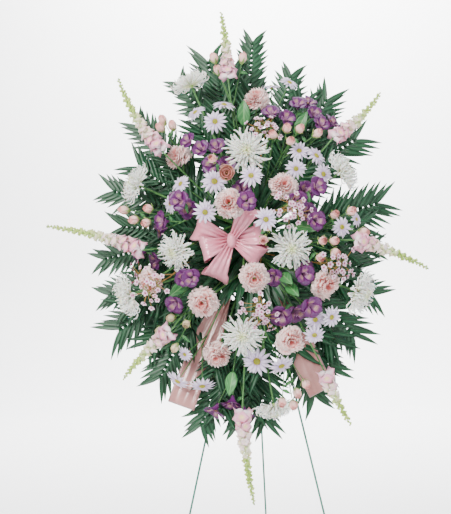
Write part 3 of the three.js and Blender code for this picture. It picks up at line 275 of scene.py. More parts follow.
def set_spray(node, kind, radius, clusters, leaves=()):
    """Settles the root, stems, heads and leaves of one spray, in the order of its solid."""
    heads = [head for cluster in clusters for head in cluster]
    across, up = (sum(head[k] for head in heads) / len(heads) for k in (0, 1))
    out = seen(across, up, dome(across, up))
    root_across, root_up = 46 * math.tanh(across / 190), 106 * math.tanh(up / 250)

    def root_build(shift):
        root = leaned(root_across + shift[0], root_up + shift[1], FOAM_DEEP)
        steep = unit(toward(root, out) + FRONT)
        path = [root - steep * ROOT_DEPTH, root + steep * ROOT_RISE]
        return {"path": path, "bars": bars_along(path, radius * ROOT_STOUT + 0.5)}

    rooted = settle(SHIFTS, node, root_build)
    start = rooted["path"][1]
    result = {"kind": kind, "radius": radius, "root": rooted["path"], "stems": [], "heads": [], "leaves": []}
    for cluster in clusters:
        if len(cluster) == 1:
            def build(move):
                at = head_at(kind, cluster[0], move, start)
                bend = stem_bend(start, at["neck"], at["axis"], move[3])
                path = stem_turns(start, bend, at["neck"])
                room = head_room(kind, at["place"], at["axis"], at["size"])
                return {**at, "bend": bend, "start": start, "bars": [*bars_along(path, radius + 0.3), *room]}

            made = settle(STEM_MOVES, node, build)
            result["heads"].append({**made, "stout": radius})
            continue
        middle, height, lift = (sum(head[k] for head in cluster) / len(cluster) for k in (0, 1, 2))
        target = seen(middle, height, dome(middle, height) + lift - 30)

        def fork_build(move):
            fork = mix(start, target, 0.72) + FRONT * move[0]
            bend = stem_bend(start, fork, toward(start, target), move[1])
            path = stem_turns(start, bend, fork)
            return {"fork": fork, "bend": bend, "path": path, "bars": bars_along(path, radius + 0.3)}

        main = settle(FORK_MOVES, node, fork_build)
        result["stems"].append((start, main["bend"], main["fork"]))
        near = []
        for number, head in enumerate(cluster):
            stalk_start = mix(main["fork"], main["path"][1], 0.6 * number / len(cluster))

            def stalk_build(move):
                at = head_at(kind, head, move, stalk_start)
                space = head_room(kind, at["place"], at["axis"], at["size"])
                return {**at, "space": space, "start": stalk_start,
                        "bars": [(stalk_start, at["neck"], radius * STALK_SLIM + 0.2), *space]}

            made = settle(HEAD_MOVES, node, stalk_build, near)
            near += made["space"]
            bend = mix(stalk_start, made["neck"], 0.6)
            result["heads"].append({**made, "stout": radius * STALK_SLIM, "bend": bend})
    result["leaves"] = [set_leaf(node, start, leaf) for leaf in leaves]
    return result


def side_root(across, up):
    """Where the ray from the hub through across, up leaves the foam's front outline."""
    share = min(FOAM_ACROSS / abs(across or 1), FOAM_UP / abs(up or 1))
    return across * share, up * share


# Meshes

class Bunch:
    """Gathers surfaces for one piece: points, triangles, two surface coordinates, tone and finish."""

    def __init__(self):
        self.points, self.faces, self.marks, self.finish = [], [], [], []
        self.count = 0

    def add(self, points, faces, marks, finish):
        """points (n, 3); faces (m, 3); marks (n, 4) holds u, v, tone and ripeness."""
        self.points.append(points)
        self.faces.append(faces + self.count)
        self.marks.append(marks)
        self.finish.append(np.full(len(faces), finish))
        self.count += len(points)

    def piece(self, name, finishes):
        mesh = bpy.data.meshes.new(name)
        points, faces = np.vstack(self.points) * MM + SHIFT, np.vstack(self.faces)
        marks = np.vstack(self.marks)
        mesh.vertices.add(len(points))
        mesh.vertices.foreach_set("co", points.ravel())
        mesh.loops.add(faces.size)
        mesh.loops.foreach_set("vertex_index", faces.ravel())
        mesh.polygons.add(len(faces))
        mesh.polygons.foreach_set("loop_start", np.arange(0, faces.size, 3))
        used = sorted(set(np.concatenate(self.finish).tolist()))
        for name_of_finish in used:
            mesh.materials.append(finishes[name_of_finish])
        slots = {number: place for place, number in enumerate(used)}
        slot_of = np.array([slots[number] for number in np.concatenate(self.finish).tolist()])
        mesh.polygons.foreach_set("material_index", slot_of)
        mesh.polygons.foreach_set("use_smooth", np.ones(len(faces), bool))
        layer = mesh.uv_layers.new(name="surface")
        layer.data.foreach_set("uv", marks[faces.ravel(), :2].ravel())
        for column, title in ((2, "tone"), (3, "ripe")):
            attribute = mesh.attributes.new(title, "FLOAT", "POINT")
            attribute.data.foreach_set("value", marks[:, column].copy())
        mesh.validate()
        mesh.update()
        thing = bpy.data.objects.new(name, mesh)
        bpy.context.scene.collection.objects.link(thing)
        return thing


def grid_faces(rows, columns):
    """Triangles of a rows by columns grid of points, facing along d(row) x d(column)."""
    low = (np.arange(rows - 1)[:, None] * columns + np.arange(columns - 1)).ravel()
    return np.concatenate([np.stack([low, low + columns, low + columns + 1], 1),
                           np.stack([low, low + columns + 1, low + 1], 1)])


def blades(bunch, surface, thick, tone, finish, ripe=0.0):
    """Thin closed petals or leaves from grids of points (k, rows, columns, 3).

    The front lies thick / 2 along the surface's normal and the back as far behind it, and both
    meet in the grid's own border."""
    count, rows, columns, _ = surface.shape
    normal = np.cross(np.gradient(surface, axis=1), np.gradient(surface, axis=2))
    normal /= np.linalg.norm(normal, axis=-1, keepdims=True) + 1e-9
    inside = np.zeros((rows, columns), bool)
    inside[1:-1, 1:-1] = True
    offset = normal * (thick / 2) * inside[..., None]
    front = (surface + offset).reshape(count, -1, 3)
    back = (surface - offset).reshape(count, -1, 3)[:, inside.ravel()]
    total = rows * columns
    back_index = np.arange(total)
    back_index[inside.ravel()] = total + np.arange(inside.sum())
    faces = grid_faces(rows, columns)
    both = np.concatenate([faces, back_index[faces][:, ::-1]])
    each = total + inside.sum()
    index = (both[None] + np.arange(count)[:, None, None] * each).reshape(-1, 3)
    u, v = np.meshgrid(np.linspace(0, 1, rows), np.linspace(-1, 1, columns), indexing="ij")
    marks = np.zeros((count, each, 4))
    marks[:, :total, 0], marks[:, :total, 1] = u.ravel(), v.ravel()
    marks[:, total:, 0], marks[:, total:, 1] = u[inside], v[inside]
    marks[..., 2] = np.broadcast_to(np.asarray(tone, float).reshape(-1, 1), (count, each))
    marks[..., 3] = np.broadcast_to(np.asarray(ripe, float).reshape(-1, 1), (count, each))
    points = np.concatenate([front, back], axis=1)
    bunch.add(points.reshape(-1, 3), index, marks.reshape(-1, 4), finish)


def closed_rings(bunch, rings, poles, finish, tone, ripe):
    """Rings (k, n, around, 3) joined to walls, with the first and last ring closed by poles (k, 2, 3)."""
    count, steps, around, _ = rings.shape
    j = np.arange(around)
    k = (j + 1) % around
    low = np.arange(steps - 1)[:, None] * around
    wall = np.concatenate([np.stack([low + j, low + k, low + around + k], -1).reshape(-1, 3),
                           np.stack([low + j, low + around + k, low + around + j], -1).reshape(-1, 3)])
    foot, top, last = steps * around, steps * around + 1, (steps - 1) * around
    faces = np.concatenate([wall, np.stack([np.full(around, foot), k, j], 1),
                            np.stack([np.full(around, top), last + j, last + k], 1)])
    each = steps * around + 2
    index = (faces[None] + np.arange(count)[:, None, None] * each).reshape(-1, 3)
    marks = np.zeros((count, each, 4))
    marks[:, :steps * around, 0] = np.repeat(np.linspace(0, 1, steps), around)
    marks[:, :steps * around, 1] = np.tile(np.cos(j / around * 2 * np.pi), steps)
    marks[:, top, 0] = 1
    marks[..., 2] = np.broadcast_to(np.asarray(tone, float).reshape(-1, 1), (count, each))
    marks[..., 3] = np.broadcast_to(np.asarray(ripe, float).reshape(-1, 1), (count, each))
    points = np.concatenate([rings.reshape(count, -1, 3), poles], 1)
    bunch.add(points.reshape(-1, 3), index, marks.reshape(-1, 4), finish)


def tubes(bunch, paths, radii, sides, finish, tone=0.5, ripe=0.0, flat=1.0, face=None):
    """Round or flattened bars along paths (k, n, 3): rings of sides points, closed by a pole at each end."""
    paths = np.asarray(paths, float)
    count, steps, _ = paths.shape
    radii = np.broadcast_to(np.asarray(radii, float), (count, steps))
    along = unit(np.gradient(paths, axis=1) + 1e-9)
    start = np.asarray(face, float) if face is not None else any_normal(along[0, 0])
    first = np.broadcast_to(start, (count, 3))[:, None] + np.zeros((1, steps, 1))
    first = unit(first - (first * along).sum(-1, keepdims=True) * along)
    second = np.cross(along, first)
    angle = np.arange(sides) / sides * 2 * np.pi
    ring = (first[:, :, None] * np.cos(angle)[:, None] * flat + second[:, :, None] * np.sin(angle)[:, None])
    body = paths[:, :, None] + ring * radii[:, :, None, None]
    poles = np.stack([paths[:, 0] - along[:, 0] * radii[:, :1] * 0.3,
                      paths[:, -1] + along[:, -1] * radii[:, -1:] * 0.3], axis=1)
    closed_rings(bunch, body, poles, finish, tone, ripe)


class Stand:
    """A head's own frame: local points (..., 3) in millimetres, z along the axis, set at its place."""

    def __init__(self, head, seed):
        self.size, self.place, self.axis = head["size"], head["place"], head["axis"]
        spin = np.random.default_rng(seed).random() * 2 * math.pi
        plain = any_normal(self.axis)
        self.first = plain * math.cos(spin) + np.cross(self.axis, plain) * math.sin(spin)
        self.side = np.cross(self.axis, self.first)

    def __call__(self, local):
        turned = local[..., :1] * self.first + local[..., 1:2] * self.side + local[..., 2:] * self.axis
        return self.place + turned * self.size


def polar(reach, height, azimuth):
    """reach cos(azimuth), reach sin(azimuth), height."""
    return np.stack([reach * np.cos(azimuth), reach * np.sin(azimuth), height + 0 * reach], -1)


def spread(reach, across, height, azimuth):
    """reach along azimuth, across square to it, and height."""
    x = reach * np.cos(azimuth) - across * np.sin(azimuth)
    y = reach * np.sin(azimuth) + across * np.cos(azimuth)
    return np.stack([x, y, height + 0 * x], -1)


def on_axis(*heights):
    """One path (1, n, 3) up the head's own axis."""
    return np.stack([np.zeros(len(heights)), np.zeros(len(heights)), np.array(heights, float)], -1)[None]


GOLDEN = math.pi * (3 - math.sqrt(5))

(PALM, LEAF, STEM, MUM, CARNATION, DAISY, EYE, FLORET, INNER, STAMEN, ROSE, SEPAL, WAX, WAX_HEART, NEEDLE,
 WOOD, SNAP) = range(17)


def spider_mum(bunch, stand, rng):
    """Quilled petals in golden-angle order: each leaves the heart at an angle that opens from 12 to
    100 degrees, arches down along its length and hooks up at its tip."""
    count, steps = 170, 9
    order = (np.arange(count) + 0.5) / count
    azimuth = np.arange(count) * GOLDEN + rng.normal(0, 0.1, count)
    length = (17 + 45 * order ** 0.75) * rng.uniform(0.88, 1.08, count)
    t = np.linspace(0, 1, steps)
    opening = np.radians(12 + 68 * order ** 0.8)[:, None]
    arch = np.radians(34) * (order[:, None] * 1.2 - 0.35) * t
    hook = np.radians(rng.uniform(70, 150, count))[:, None] * np.clip((t - 0.74) / 0.26, 0, 1) ** 1.3
    tilt = opening + arch - hook
    step = length[:, None] / (steps - 1)
    reach = 2.5 + 4 * order[:, None] + np.cumsum(np.sin(tilt) * step, axis=1) - np.sin(tilt[:, :1]) * step
    height = -9 * order[:, None] + 1 + np.cumsum(np.cos(tilt) * step, axis=1) - np.cos(tilt[:, :1]) * step
    sway = azimuth[:, None] + np.radians(rng.normal(0, 9, count))[:, None] * t ** 2
    paths = stand(polar(reach, height, sway))
    radii = stand.size * np.interp(t, [0, 0.3, 0.75, 1], [1.3, 2.3, 2.5, 0.9])
    tubes(bunch, paths, radii, 5, MUM, tone=rng.random(count), ripe=1 - order, flat=0.6, face=stand.axis)
    tubes(bunch, stand(on_axis(-14, -6, 2)), stand.size * np.array([3, 8, 5]), 10, SEPAL)


def carnation(bunch, stand, rng):
    """Fan petals in six whorls. A petal is a wedge in azimuth, rises and flares with u, and its frilled
    edge waves out of the surface as u^2 sin(v) and along it as u^3 sin(v), with a toothed rim."""
    whorls = [(9, 37.0, -6, 0.52), (9, 35.5, 3, 0.5), (9, 31.0, 10, 0.46), (8, 25.0, 16, 0.46),
              (7, 17.5, 20, 0.5), (6, 10.0, 22, 0.6)]
    rows, columns = 7, 17
    u, v = np.meshgrid(np.linspace(0, 1, rows), np.linspace(-1, 1, columns), indexing="ij")
    for number, (count, reach, top, wedge) in enumerate(whorls):
        k = np.arange(count)
        phase = rng.uniform(0, 2 * np.pi, (count, 1, 1))
        azimuth = (k * 2 * np.pi / count + number * 0.37 + rng.normal(0, 0.2, count))[:, None, None]
        waves = rng.integers(5, 9, (count, 1, 1))
        frill = (u ** 2)[None] * np.sin(v[None] * np.pi * waves / 2 + phase)
        teeth = (u > 0.95)[None] * 1.6 * np.cos(v[None] * np.pi * 6 + phase)
        rounded = 1 - 0.13 * (v ** 2 * u)[None]
        ruffle = (u ** 3)[None] * np.sin(v[None] * np.pi * (waves + 1) / 2 + 2 * phase)
        span = (reach * rng.uniform(0.82, 1.05, (count, 1, 1)) - 3) * u[None] ** 1.05 * rounded + 3 + teeth
        span = span + 2.6 * ruffle * min(1, reach / 25)
        lift = -14 + (top + 14) * np.sin(u[None] * np.pi / 2) ** 0.85 + frill * 5.2 - 2.2 * (u ** 3)[None]
        lift = lift + rng.normal(0, 2.6, (count, 1, 1)) * u
        turn = azimuth + wedge * v[None] * (0.35 + 0.65 * u[None]) + frill * 0.15
        blades(bunch, stand(polar(span, lift, turn)), 0.5, rng.random(count), CARNATION, ripe=number / 5)
    tubes(bunch, stand(on_axis(-26, -22, -17, -12, -8)), stand.size * np.array([2.4, 5.4, 6.6, 7.4, 7.8]),
          12, SEPAL)


def daisy(bunch, stand, rng):
    """Two rings of ray petals, 4.1 sin(pi u^0.9)^0.7 to each side, arching a little, round a domed eye."""
    rows, columns = 7, 5
    u, v = np.meshgrid(np.linspace(0.02, 1, rows), np.linspace(-1, 1, columns), indexing="ij")
    for count, reach, lift, turn in ((14, 35.0, 0.5, 0.0), (13, 32.0, 2.8, 0.22)):
        k = np.arange(count)
        azimuth = (k * 2 * np.pi / count + turn + rng.normal(0, 0.05, count))[:, None, None]
        long = (reach * rng.uniform(0.84, 1.06, count) - 5)[:, None, None]
        droop = rng.normal(0, 2.4, (count, 1, 1))
        half = (4.1 * np.sin(np.pi * np.clip(u, 0.04, 0.985) ** 0.9) ** 0.7)[None]
        r = 5 + long * u[None] * (1 - 0.04 * v[None] ** 2)
        across = half * v[None]
        z = lift + 2.4 * np.sin(np.pi * u)[None] + (droop - 2.2) * (u ** 2)[None] - 0.5 * (1 - v ** 2)[None]
        blades(bunch, stand(spread(r, across, z, azimuth)), 0.5, rng.random(count), DAISY)
    turns = np.linspace(0, 1, 10)
    path = on_axis(*(-3 + 9.5 * turns))
    dome_of = np.interp(turns, [0, 0.2, 0.55, 0.8, 1], [6.5, 8.0, 7.6, 5.6, 1.6])
    tubes(bunch, stand(path), stand.size * dome_of, 16, EYE)
    florets = 46
    k = np.arange(florets)
    r = 7.4 * np.sqrt((k + 0.5) / florets)
    z = 6.4 - 3.6 * (r / 7.6) ** 2
    base = polar(r, z - 0.8, k * GOLDEN)
    tip = polar(r * 1.04, z + 1.2, k * GOLDEN)
    tubes(bunch, stand(np.stack([base, tip], 1)), stand.size * 0.75, 5, EYE, tone=rng.random(florets),
          ripe=r / 7.6)
    tubes(bunch, stand(on_axis(-7, -3, 0)), stand.size * np.array([2, 6.5, 7]), 10, SEPAL)


def lily_floret(bunch, stand, rng):
    """Six tepals of an alstroemeria: a funnel from the neck that flares to radius 24; outer ones are
    spoon-shaped and inner ones narrow and streaked. Six curved stamens stand in the throat."""
    rows, columns = 9, 7
    u, v = np.meshgrid(np.linspace(0, 1, rows), np.linspace(-1, 1, columns), indexing="ij")
    for ring, (finish, half, reach, top) in enumerate(((FLORET, 15.0, 27, 6.5), (INNER, 9.0, 25, 10.5))):
        k = np.arange(3)
        azimuth = (k * 2 * np.pi / 3 + ring * np.pi / 3 + rng.normal(0, 0.08, 3))[:, None, None]
        wide = half * (0.14 + 0.86 * np.sin(np.pi * np.clip(u, 0, 1) ** 1.5 * 0.93) ** 0.8)
        wide = np.where(u > 0.99, half * 0.12, wide)
        across = (wide * v)[None]
        flare = rng.uniform(-1.5, 1.5, (3, 1, 1))
        r = (2.5 + (reach - 2.5) * u ** 1.7)[None] + flare * u
        z = (-20 + (top + 20) * np.sin(u * np.pi / 2) ** 0.8)[None] - flare * u ** 2
        z = z + (3.2 * v ** 2 * (1 - u))[None]
        z = z - (2.5 * u ** 4)[None] + 0.8 * np.sin(3 * np.pi * u)[None] * v[None]
        blades(bunch, stand(spread(r, across, z, azimuth)), 0.5, rng.random(3), finish, ripe=ring)
    t = np.linspace(0, 1, 6)
    k = np.arange(6)[:, None]
    lean = 0.9 + k * 0.35
    r = 1.4 + 5.5 * t[None] ** 1.5 + 0 * k
    z = -17 + 24 * t[None] + 0 * k - 1.5 * (k % 3)
    stout = stand.size * np.array([0.55, 0.5, 0.45, 0.45, 0.9, 0.7])
    tubes(bunch, stand(polar(r, z, lean + 0 * t[None])), stout, 5, STAMEN)


def rose_bud(bunch, stand, rng, open_share=0.0, green=0.0):
    """Petals in a spiral: each wraps 150 degrees round the bud, r(u) swells to its girth at half
    height and closes or rolls out at the lip. Sepals hug the base."""
    rows, columns = 7, 9
    count = 9
    u, v = np.meshgrid(np.linspace(0, 1, rows), np.linspace(-1, 1, columns), indexing="ij")
    order = np.arange(count) / (count - 1)
    azimuth = (np.arange(count) * GOLDEN + rng.uniform(0, 6))[:, None, None]
    girth = (1.8 + 8.6 * order ** 0.8 + open_share * 6 * order)[:, None, None]
    swell = np.sin(np.pi * (0.16 + 0.70 * u)) ** 0.8
    lip = (u ** 4)[None] * (order[:, None, None] * 2.2 + open_share * 6 * order[:, None, None])
    r = np.clip(girth * swell[None] * (0.55 + 0.45 * np.minimum(1, u * 2.2))[None], 1.2, None) + lip
    r = r + 0.9 * np.abs(v[None]) ** 3 * order[:, None, None]
    tall = (26 - 4.0 * order - 2 * open_share * order)[:, None, None]
    z = -4 + (tall + 4) * u[None] * (1 - 0.09 * v[None] ** 2) + rng.normal(0, 0.5, (count, 1, 1)) * u
    turn = azimuth + np.radians(78) * v[None] * (1 - 0.1 * u[None])
    blades(bunch, stand(polar(r, z, turn)), 0.5, rng.random(count), ROSE, ripe=green + 0 * order)
    rows, columns = 6, 5
    u, v = np.meshgrid(np.linspace(0, 1, rows), np.linspace(-1, 1, columns), indexing="ij")
    azimuth = (np.arange(5) * 2 * np.pi / 5 + rng.uniform(0, 6))[:, None, None]
    half = (3.6 * (1 - u) ** 0.7 + 0.15)[None]
    r = (3 + 9.5 * np.sin(u * np.pi * 0.55) + 2.5 * u ** 3)[None] + 0 * azimuth
    z = (-4.6 + (17 + 5 * green) * u)[None] - rng.uniform(0, 5, (5, 1, 1)) * (u ** 2)[None]
    across = half * v[None]
    blades(bunch, stand(spread(r, across, z, azimuth)), 0.5, rng.random(5), SEPAL)
    tubes(bunch, stand(on_axis(-6.5, -4.5, -2, 0)), stand.size * np.array([2, 4.4, 4.8, 4.0]), 10, SEPAL)


def wax_flower(bunch, stand, rng):
    """Five round petals, r = 1.6 + 6.2 u, on a dark little cup."""
    rows, columns = 5, 5
    u, v = np.meshgrid(np.linspace(0, 1, rows), np.linspace(-1, 1, columns), indexing="ij")
    azimuth = (np.arange(5) * 2 * np.pi / 5)[:, None, None]
    half = (3.4 * np.sin(np.pi * (0.12 + 0.82 * u)) ** 0.6)[None]
    r = (1.6 + 6.2 * u)[None] + 0 * azimuth
    across = half * v[None]
    z = (0.4 + 1.8 * u ** 1.5)[None] + rng.normal(0, 0.4, (5, 1, 1)) * u
    blades(bunch, stand(spread(r, across, z, azimuth)), 0.4, rng.random(5), WAX)
    tubes(bunch, stand(on_axis(-4, -1.5, 0.8, 1.4)), stand.size * np.array([1, 2.2, 2.4, 1.2]), 8, WAX_HEART)


HEADS = {"mum": spider_mum, "carnation": carnation, "daisy": daisy, "floret": lily_floret, "bud": rose_bud,
         "wax": wax_flower}


def leaf_blade(bunch, foot, tip, half, finish, seed, wave=1.0):
    """half * sin(pi t^0.8)^0.8 wide, folded up from the midrib and waved along the edge."""
    rng = np.random.default_rng(seed)
    rows, columns = 15, 9
    t, v = np.meshgrid(np.linspace(0, 1, rows), np.linspace(-1, 1, columns), indexing="ij")
    along = toward(foot, tip)
    length = np.linalg.norm(tip - foot)
    flat = unit(np.cross(along, FRONT))
    face = unit(np.cross(flat, along))
    face = face if face @ FRONT > 0 else -face
    wide = half * np.sin(np.pi * np.clip(t, 0.012, 0.985) ** 0.8) ** 0.8
    edge_wave = wave * np.sin(t * 9 + rng.uniform(0, 6)) * v ** 2 * 1.2
    lift = 2.2 * np.abs(v) ** 1.3 * np.sin(np.pi * t) + edge_wave + 3.5 * np.sin(np.pi * t) - 4.5 * t ** 2
    grid = foot + along * (t * length)[..., None] + flat * (wide * v)[..., None] + face * lift[..., None]
    blades(bunch, grid[None], 0.5, rng.random(1), finish)


def spray_piece(node, plan, finishes):
    """Stems along their curves, with a head and its small leaves at each end, as one piece."""
    bunch = Bunch()
    seed = sum(ord(letter) for letter in node)
    rng = np.random.default_rng(seed)
    kind, radius = plan["kind"], plan["radius"]
    stem_finish = WOOD if kind == "wax" else STEM
    root = np.linspace(plan["root"][0], plan["root"][1], 3)[None]
    tubes(bunch, root, radius * ROOT_STOUT * 0.8, 7, stem_finish)
    for start, bend, fork in plan["stems"]:
        stout = np.linspace(radius, radius * 0.75, 9)
        tubes(bunch, bezier(start, bend, fork, 9)[None], stout, 7, stem_finish)
    for number, head in enumerate(plan["heads"]):
        stout = head["stout"]
        path = bezier(head["start"], head["bend"], head["neck"] + head["axis"] * head["size"], 9)
        tubes(bunch, path[None], np.linspace(stout, stout * 0.85, 9), 7, stem_finish)
        stand = Stand(head, seed + number)
        if kind == "bud":
            opened = node == "roses_upper" and number == 1
            rose_bud(bunch, stand, rng, 1.0 if opened else 0.0, 0.75 if node == "roses_lower_left" else 0.0)
        else:
            HEADS[kind](bunch, stand, rng)
        if kind == "wax":
            wax_twig(bunch, head, rng)
        if kind in ("bud", "floret") and number % 2 == 0:
            stalk_leaf(bunch, path, head, rng)
    for number, leaf in enumerate(plan["leaves"]):
        stalk = np.linspace(leaf["start"], leaf["foot"] + toward(leaf["foot"], leaf["tip"]) * 4, 5)
        tubes(bunch, stalk[None], 1.4, 6, STEM)
        leaf_blade(bunch, leaf["foot"], leaf["tip"], leaf["half"], LEAF, seed + number)
    return bunch.piece(node + "_fine", finishes)


def wax_twig(bunch, head, rng):
    """Nine more small flowers and a tuft of needle leaves beside a waxflower's head."""
    axis, place, size = head["axis"], head["place"], head["size"]
    first = any_normal(axis)
    side = np.cross(axis, first)
    for k in range(9):
        angle = k * GOLDEN + rng.uniform(0, 0.8)
        arm = first * math.cos(angle) + side * math.sin(angle)
        spot = place + arm * rng.uniform(12, 40) + axis * rng.uniform(-8, 14)
        path = bezier(head["neck"] - axis * 9, head["neck"] + arm * 4, spot, 5)
        tubes(bunch, path[None], 0.7, 5, WOOD)
        facing = unit(axis + arm * 0.5)
        small = {"size": size * rng.uniform(0.75, 0.95), "place": spot + facing * 2, "axis": facing}
        wax_flower(bunch, Stand(small, int(rng.integers(1000))), rng)
    count = 12
    angle = rng.uniform(0, 2 * np.pi, count)
    arm = first * np.cos(angle)[:, None] + side * np.sin(angle)[:, None]
    base = head["neck"] - axis * rng.uniform(0, 16, count)[:, None]
    tip = base + arm * rng.uniform(12, 20, count)[:, None] + axis * rng.uniform(2, 12, count)[:, None]
    tubes(bunch, np.stack([base, mix(base, tip, 0.5), tip], 1), np.array([0.6, 0.8, 0.3]), 5, NEEDLE)


def stalk_leaf(bunch, path, head, rng):
    """A small leaf from the upper third of a stalk, lying out to one side below the head."""
    base = path[6]
    side = unit(np.cross(head["axis"], FRONT) + 1e-6) * (1 if rng.random() < 0.5 else -1)
    tip = base + side * rng.uniform(16, 24) + head["axis"] * rng.uniform(2, 9) - UPRIGHT * rng.uniform(0, 8)
    leaf_blade(bunch, base, tip, 4.2, LEAF, int(rng.integers(1000)), wave=0.4)


# Palm fronds

RIB_INWARD = 0.34
FROND_RISE = 14
FROND_SINK = 1.7
LEAFLET_STEP = 13


def chance(seed):
    """The fraction of 43758.5453 sin(12.9898 seed + 4.1)."""
    wave = math.sin(seed * 12.9898 + 4.1) * 43758.5453
    return wave - math.floor(wave)


def palm_frond(bunch, start, rib_start, rib_end, width, seed, columns=5):
    """A slim rib with pairs of narrow leaflets whose length and spread follow the solid's:
    width * (1.1 - 0.22 t) long at 60 - 30 t degrees from the rib."""
    rng = np.random.default_rng(abs(int(seed)) + 3)
    along = toward(rib_start, rib_end)
    flat = unit(np.cross(along, FRONT))
    face = unit(np.cross(flat, along))
    span = np.linspace(rib_start, rib_end + along * 8, 14)
    stalk = np.linspace(start, rib_start, 6)[:-1]
    path = np.vstack([stalk, span])
    tubes(bunch, path[None], np.linspace(2.0, 0.6, len(path)), 6, STEM, face=face)
    count = max(8, int(np.linalg.norm(rib_end - rib_start) / LEAFLET_STEP))
    order = np.repeat((np.arange(count) + 0.35) / count, 2)
    side = np.tile([1.0, -1.0], count)
    vary = rng.random(2 * count)
    near = np.minimum(1, 0.55 + 3 * order)
    length = width * (1.1 - 0.22 * order) * (0.9 + 0.17 * vary) * near
    opening = np.radians(60 - 30 * order + 8 * (vary - 0.3))
    out = along * np.cos(opening)[:, None] + flat * (side * np.sin(opening))[:, None]
    broad = np.cross(out, face) * side[:, None]
    base = rib_start + (rib_end - rib_start) * order[:, None]
    rows = 2 * columns - 1
    t, v = np.meshgrid(np.linspace(0, 1, rows), np.linspace(-1, 1, columns), indexing="ij")
    half = 6.4 * np.sin(np.pi * np.clip(t, 0.09, 0.99) ** 0.62) ** 0.8
    droop = -(0.05 + 0.07 * rng.random(2 * count)) * length
    lift = droop[:, None, None] * t[None] ** 2 + 1.5 * np.abs(v)[None] * np.sin(np.pi * t)[None] + 1.0
    bend = (rng.normal(0, 0.05, 2 * count) * length)[:, None, None] * (t ** 2)[None]
    grid = (base[:, None, None] + out[:, None, None] * (t[None] * length[:, None, None])[..., None]
            + broad[:, None, None] * ((half * v)[None] + bend)[..., None]
            + face * lift[..., None])
    blades(bunch, grid, 0.45, vary, PALM, ripe=chance(seed))


def frond_piece(node, proud, fronds_of, finishes):
    """The outer fronds of one node on a shared stalk, and the inner ones in front of them."""
    bunch = Bunch()
    across, up = (sum(item[2 + k] for item in fronds_of) / len(fronds_of) for k in (0, 1))
    root = leaned(*side_root(across, up), proud)
    inner = root + toward(leaned(across, up, proud), root) * ROOT_DEPTH
    outer = root + toward(inner, root) * FROND_RISE
    tubes(bunch, np.linspace(inner, outer, 4)[None], 3.4, 8, STEM)
    for number, (start_across, start_up, end_across, end_up, width) in enumerate(fronds_of):
        layer = proud + (number - 1) * 5
        rib_end = seen(end_across, end_up, layer)
        rib_start = mix(seen(start_across, start_up, layer + 3), root, RIB_INWARD)
        start = outer + toward(outer, root) * FROND_SINK * (number + 1)
        palm_frond(bunch, start, rib_start, rib_end, width, number * 11 + start_across)
        claim(bars_along([inner, root, rib_start, rib_end], 3), node)
    under_fronds(bunch, fronds_of, root, proud)
    return bunch.piece(node + "_fine", finishes)


# Which two outer fronds each inner one lies between, and its reach as a share of theirs
UNDER = [(0, 1, 0.9), (1, 2, 0.9), (0, 0, 0.72), (1, 1, 0.74), (2, 2, 0.72), (0, 1, 0.6), (1, 2, 0.6)]


def under_fronds(bunch, fronds_of, root, proud):
    """Shorter fronds between and in front of the outer ones, leafy from the foam outward, and single
    leaves that stand up round the foam's rim."""
    ends = np.array([item[2:4] for item in fronds_of], float)
    for k, (one, two, reach) in enumerate(UNDER):
        across, up = (ends[one] + ends[two]) / 2 * reach
        lift = proud + (6 if reach > 0.8 else 30) + 5 * (k % 3)
        rib_end = seen(across, up, lift)
        palm_frond(bunch, root, mix(root, rib_end, 0.16), rib_end, 84, k * 17 + ends[0, 0], columns=3)
    rng = np.random.default_rng(int(abs(ends[1, 0]) + 7))
    middle = ends.mean(0)
    for k in range(15):
        turn = math.atan2(middle[1], middle[0]) + rng.uniform(-0.5, 0.5)
        near, far = rng.uniform(15, 55), rng.uniform(105, 190)
        foot = seen(near * math.cos(turn), 1.7 * near * math.sin(turn), 42)
        tip = seen(far * math.cos(turn), 1.25 * far * math.sin(turn), rng.uniform(60, 105))
        leaf_blade(bunch, foot, tip, rng.uniform(7, 10), PALM, k, wave=0.5)


# Snapdragons

def snap_floret_grid(size, openness):
    """Closed trumpets: rings run from the foot out along the wall to a five-lobed lip and back in
    to the throat. Returns local points (count, rings, around, 3) with z along the floret."""
    around = 10
    profile = [(0.10, -0.1), (0.30, 0.15), (0.42, 0.45), (0.40, 0.75), (0.60, 0.98), (0.95, 1.12),
               (0.62, 1.06), (0.30, 0.92), (0.05, 0.80)]
    angle = np.arange(around) / around * 2 * np.pi
    rings = []
    for reach, height in profile:
        lip = max(0.0, reach - 0.45)
        lobes = 1 + 0.32 * lip * np.cos(5 * angle)[None] + 0.2 * lip * np.cos(angle)[None]
        closing = 0.42 + (reach - 0.42) * (0.15 + 0.85 * openness)[:, None] if reach > 0.42 else reach
        r = size[:, None] * closing * lobes
        z = size[:, None] * (height + 0.10 * lip * np.sin(5 * angle + 1)[None]) + 0 * r
        rings.append(polar(r, z, angle[None] + 0 * r))
    return np.stack(rings, axis=1)


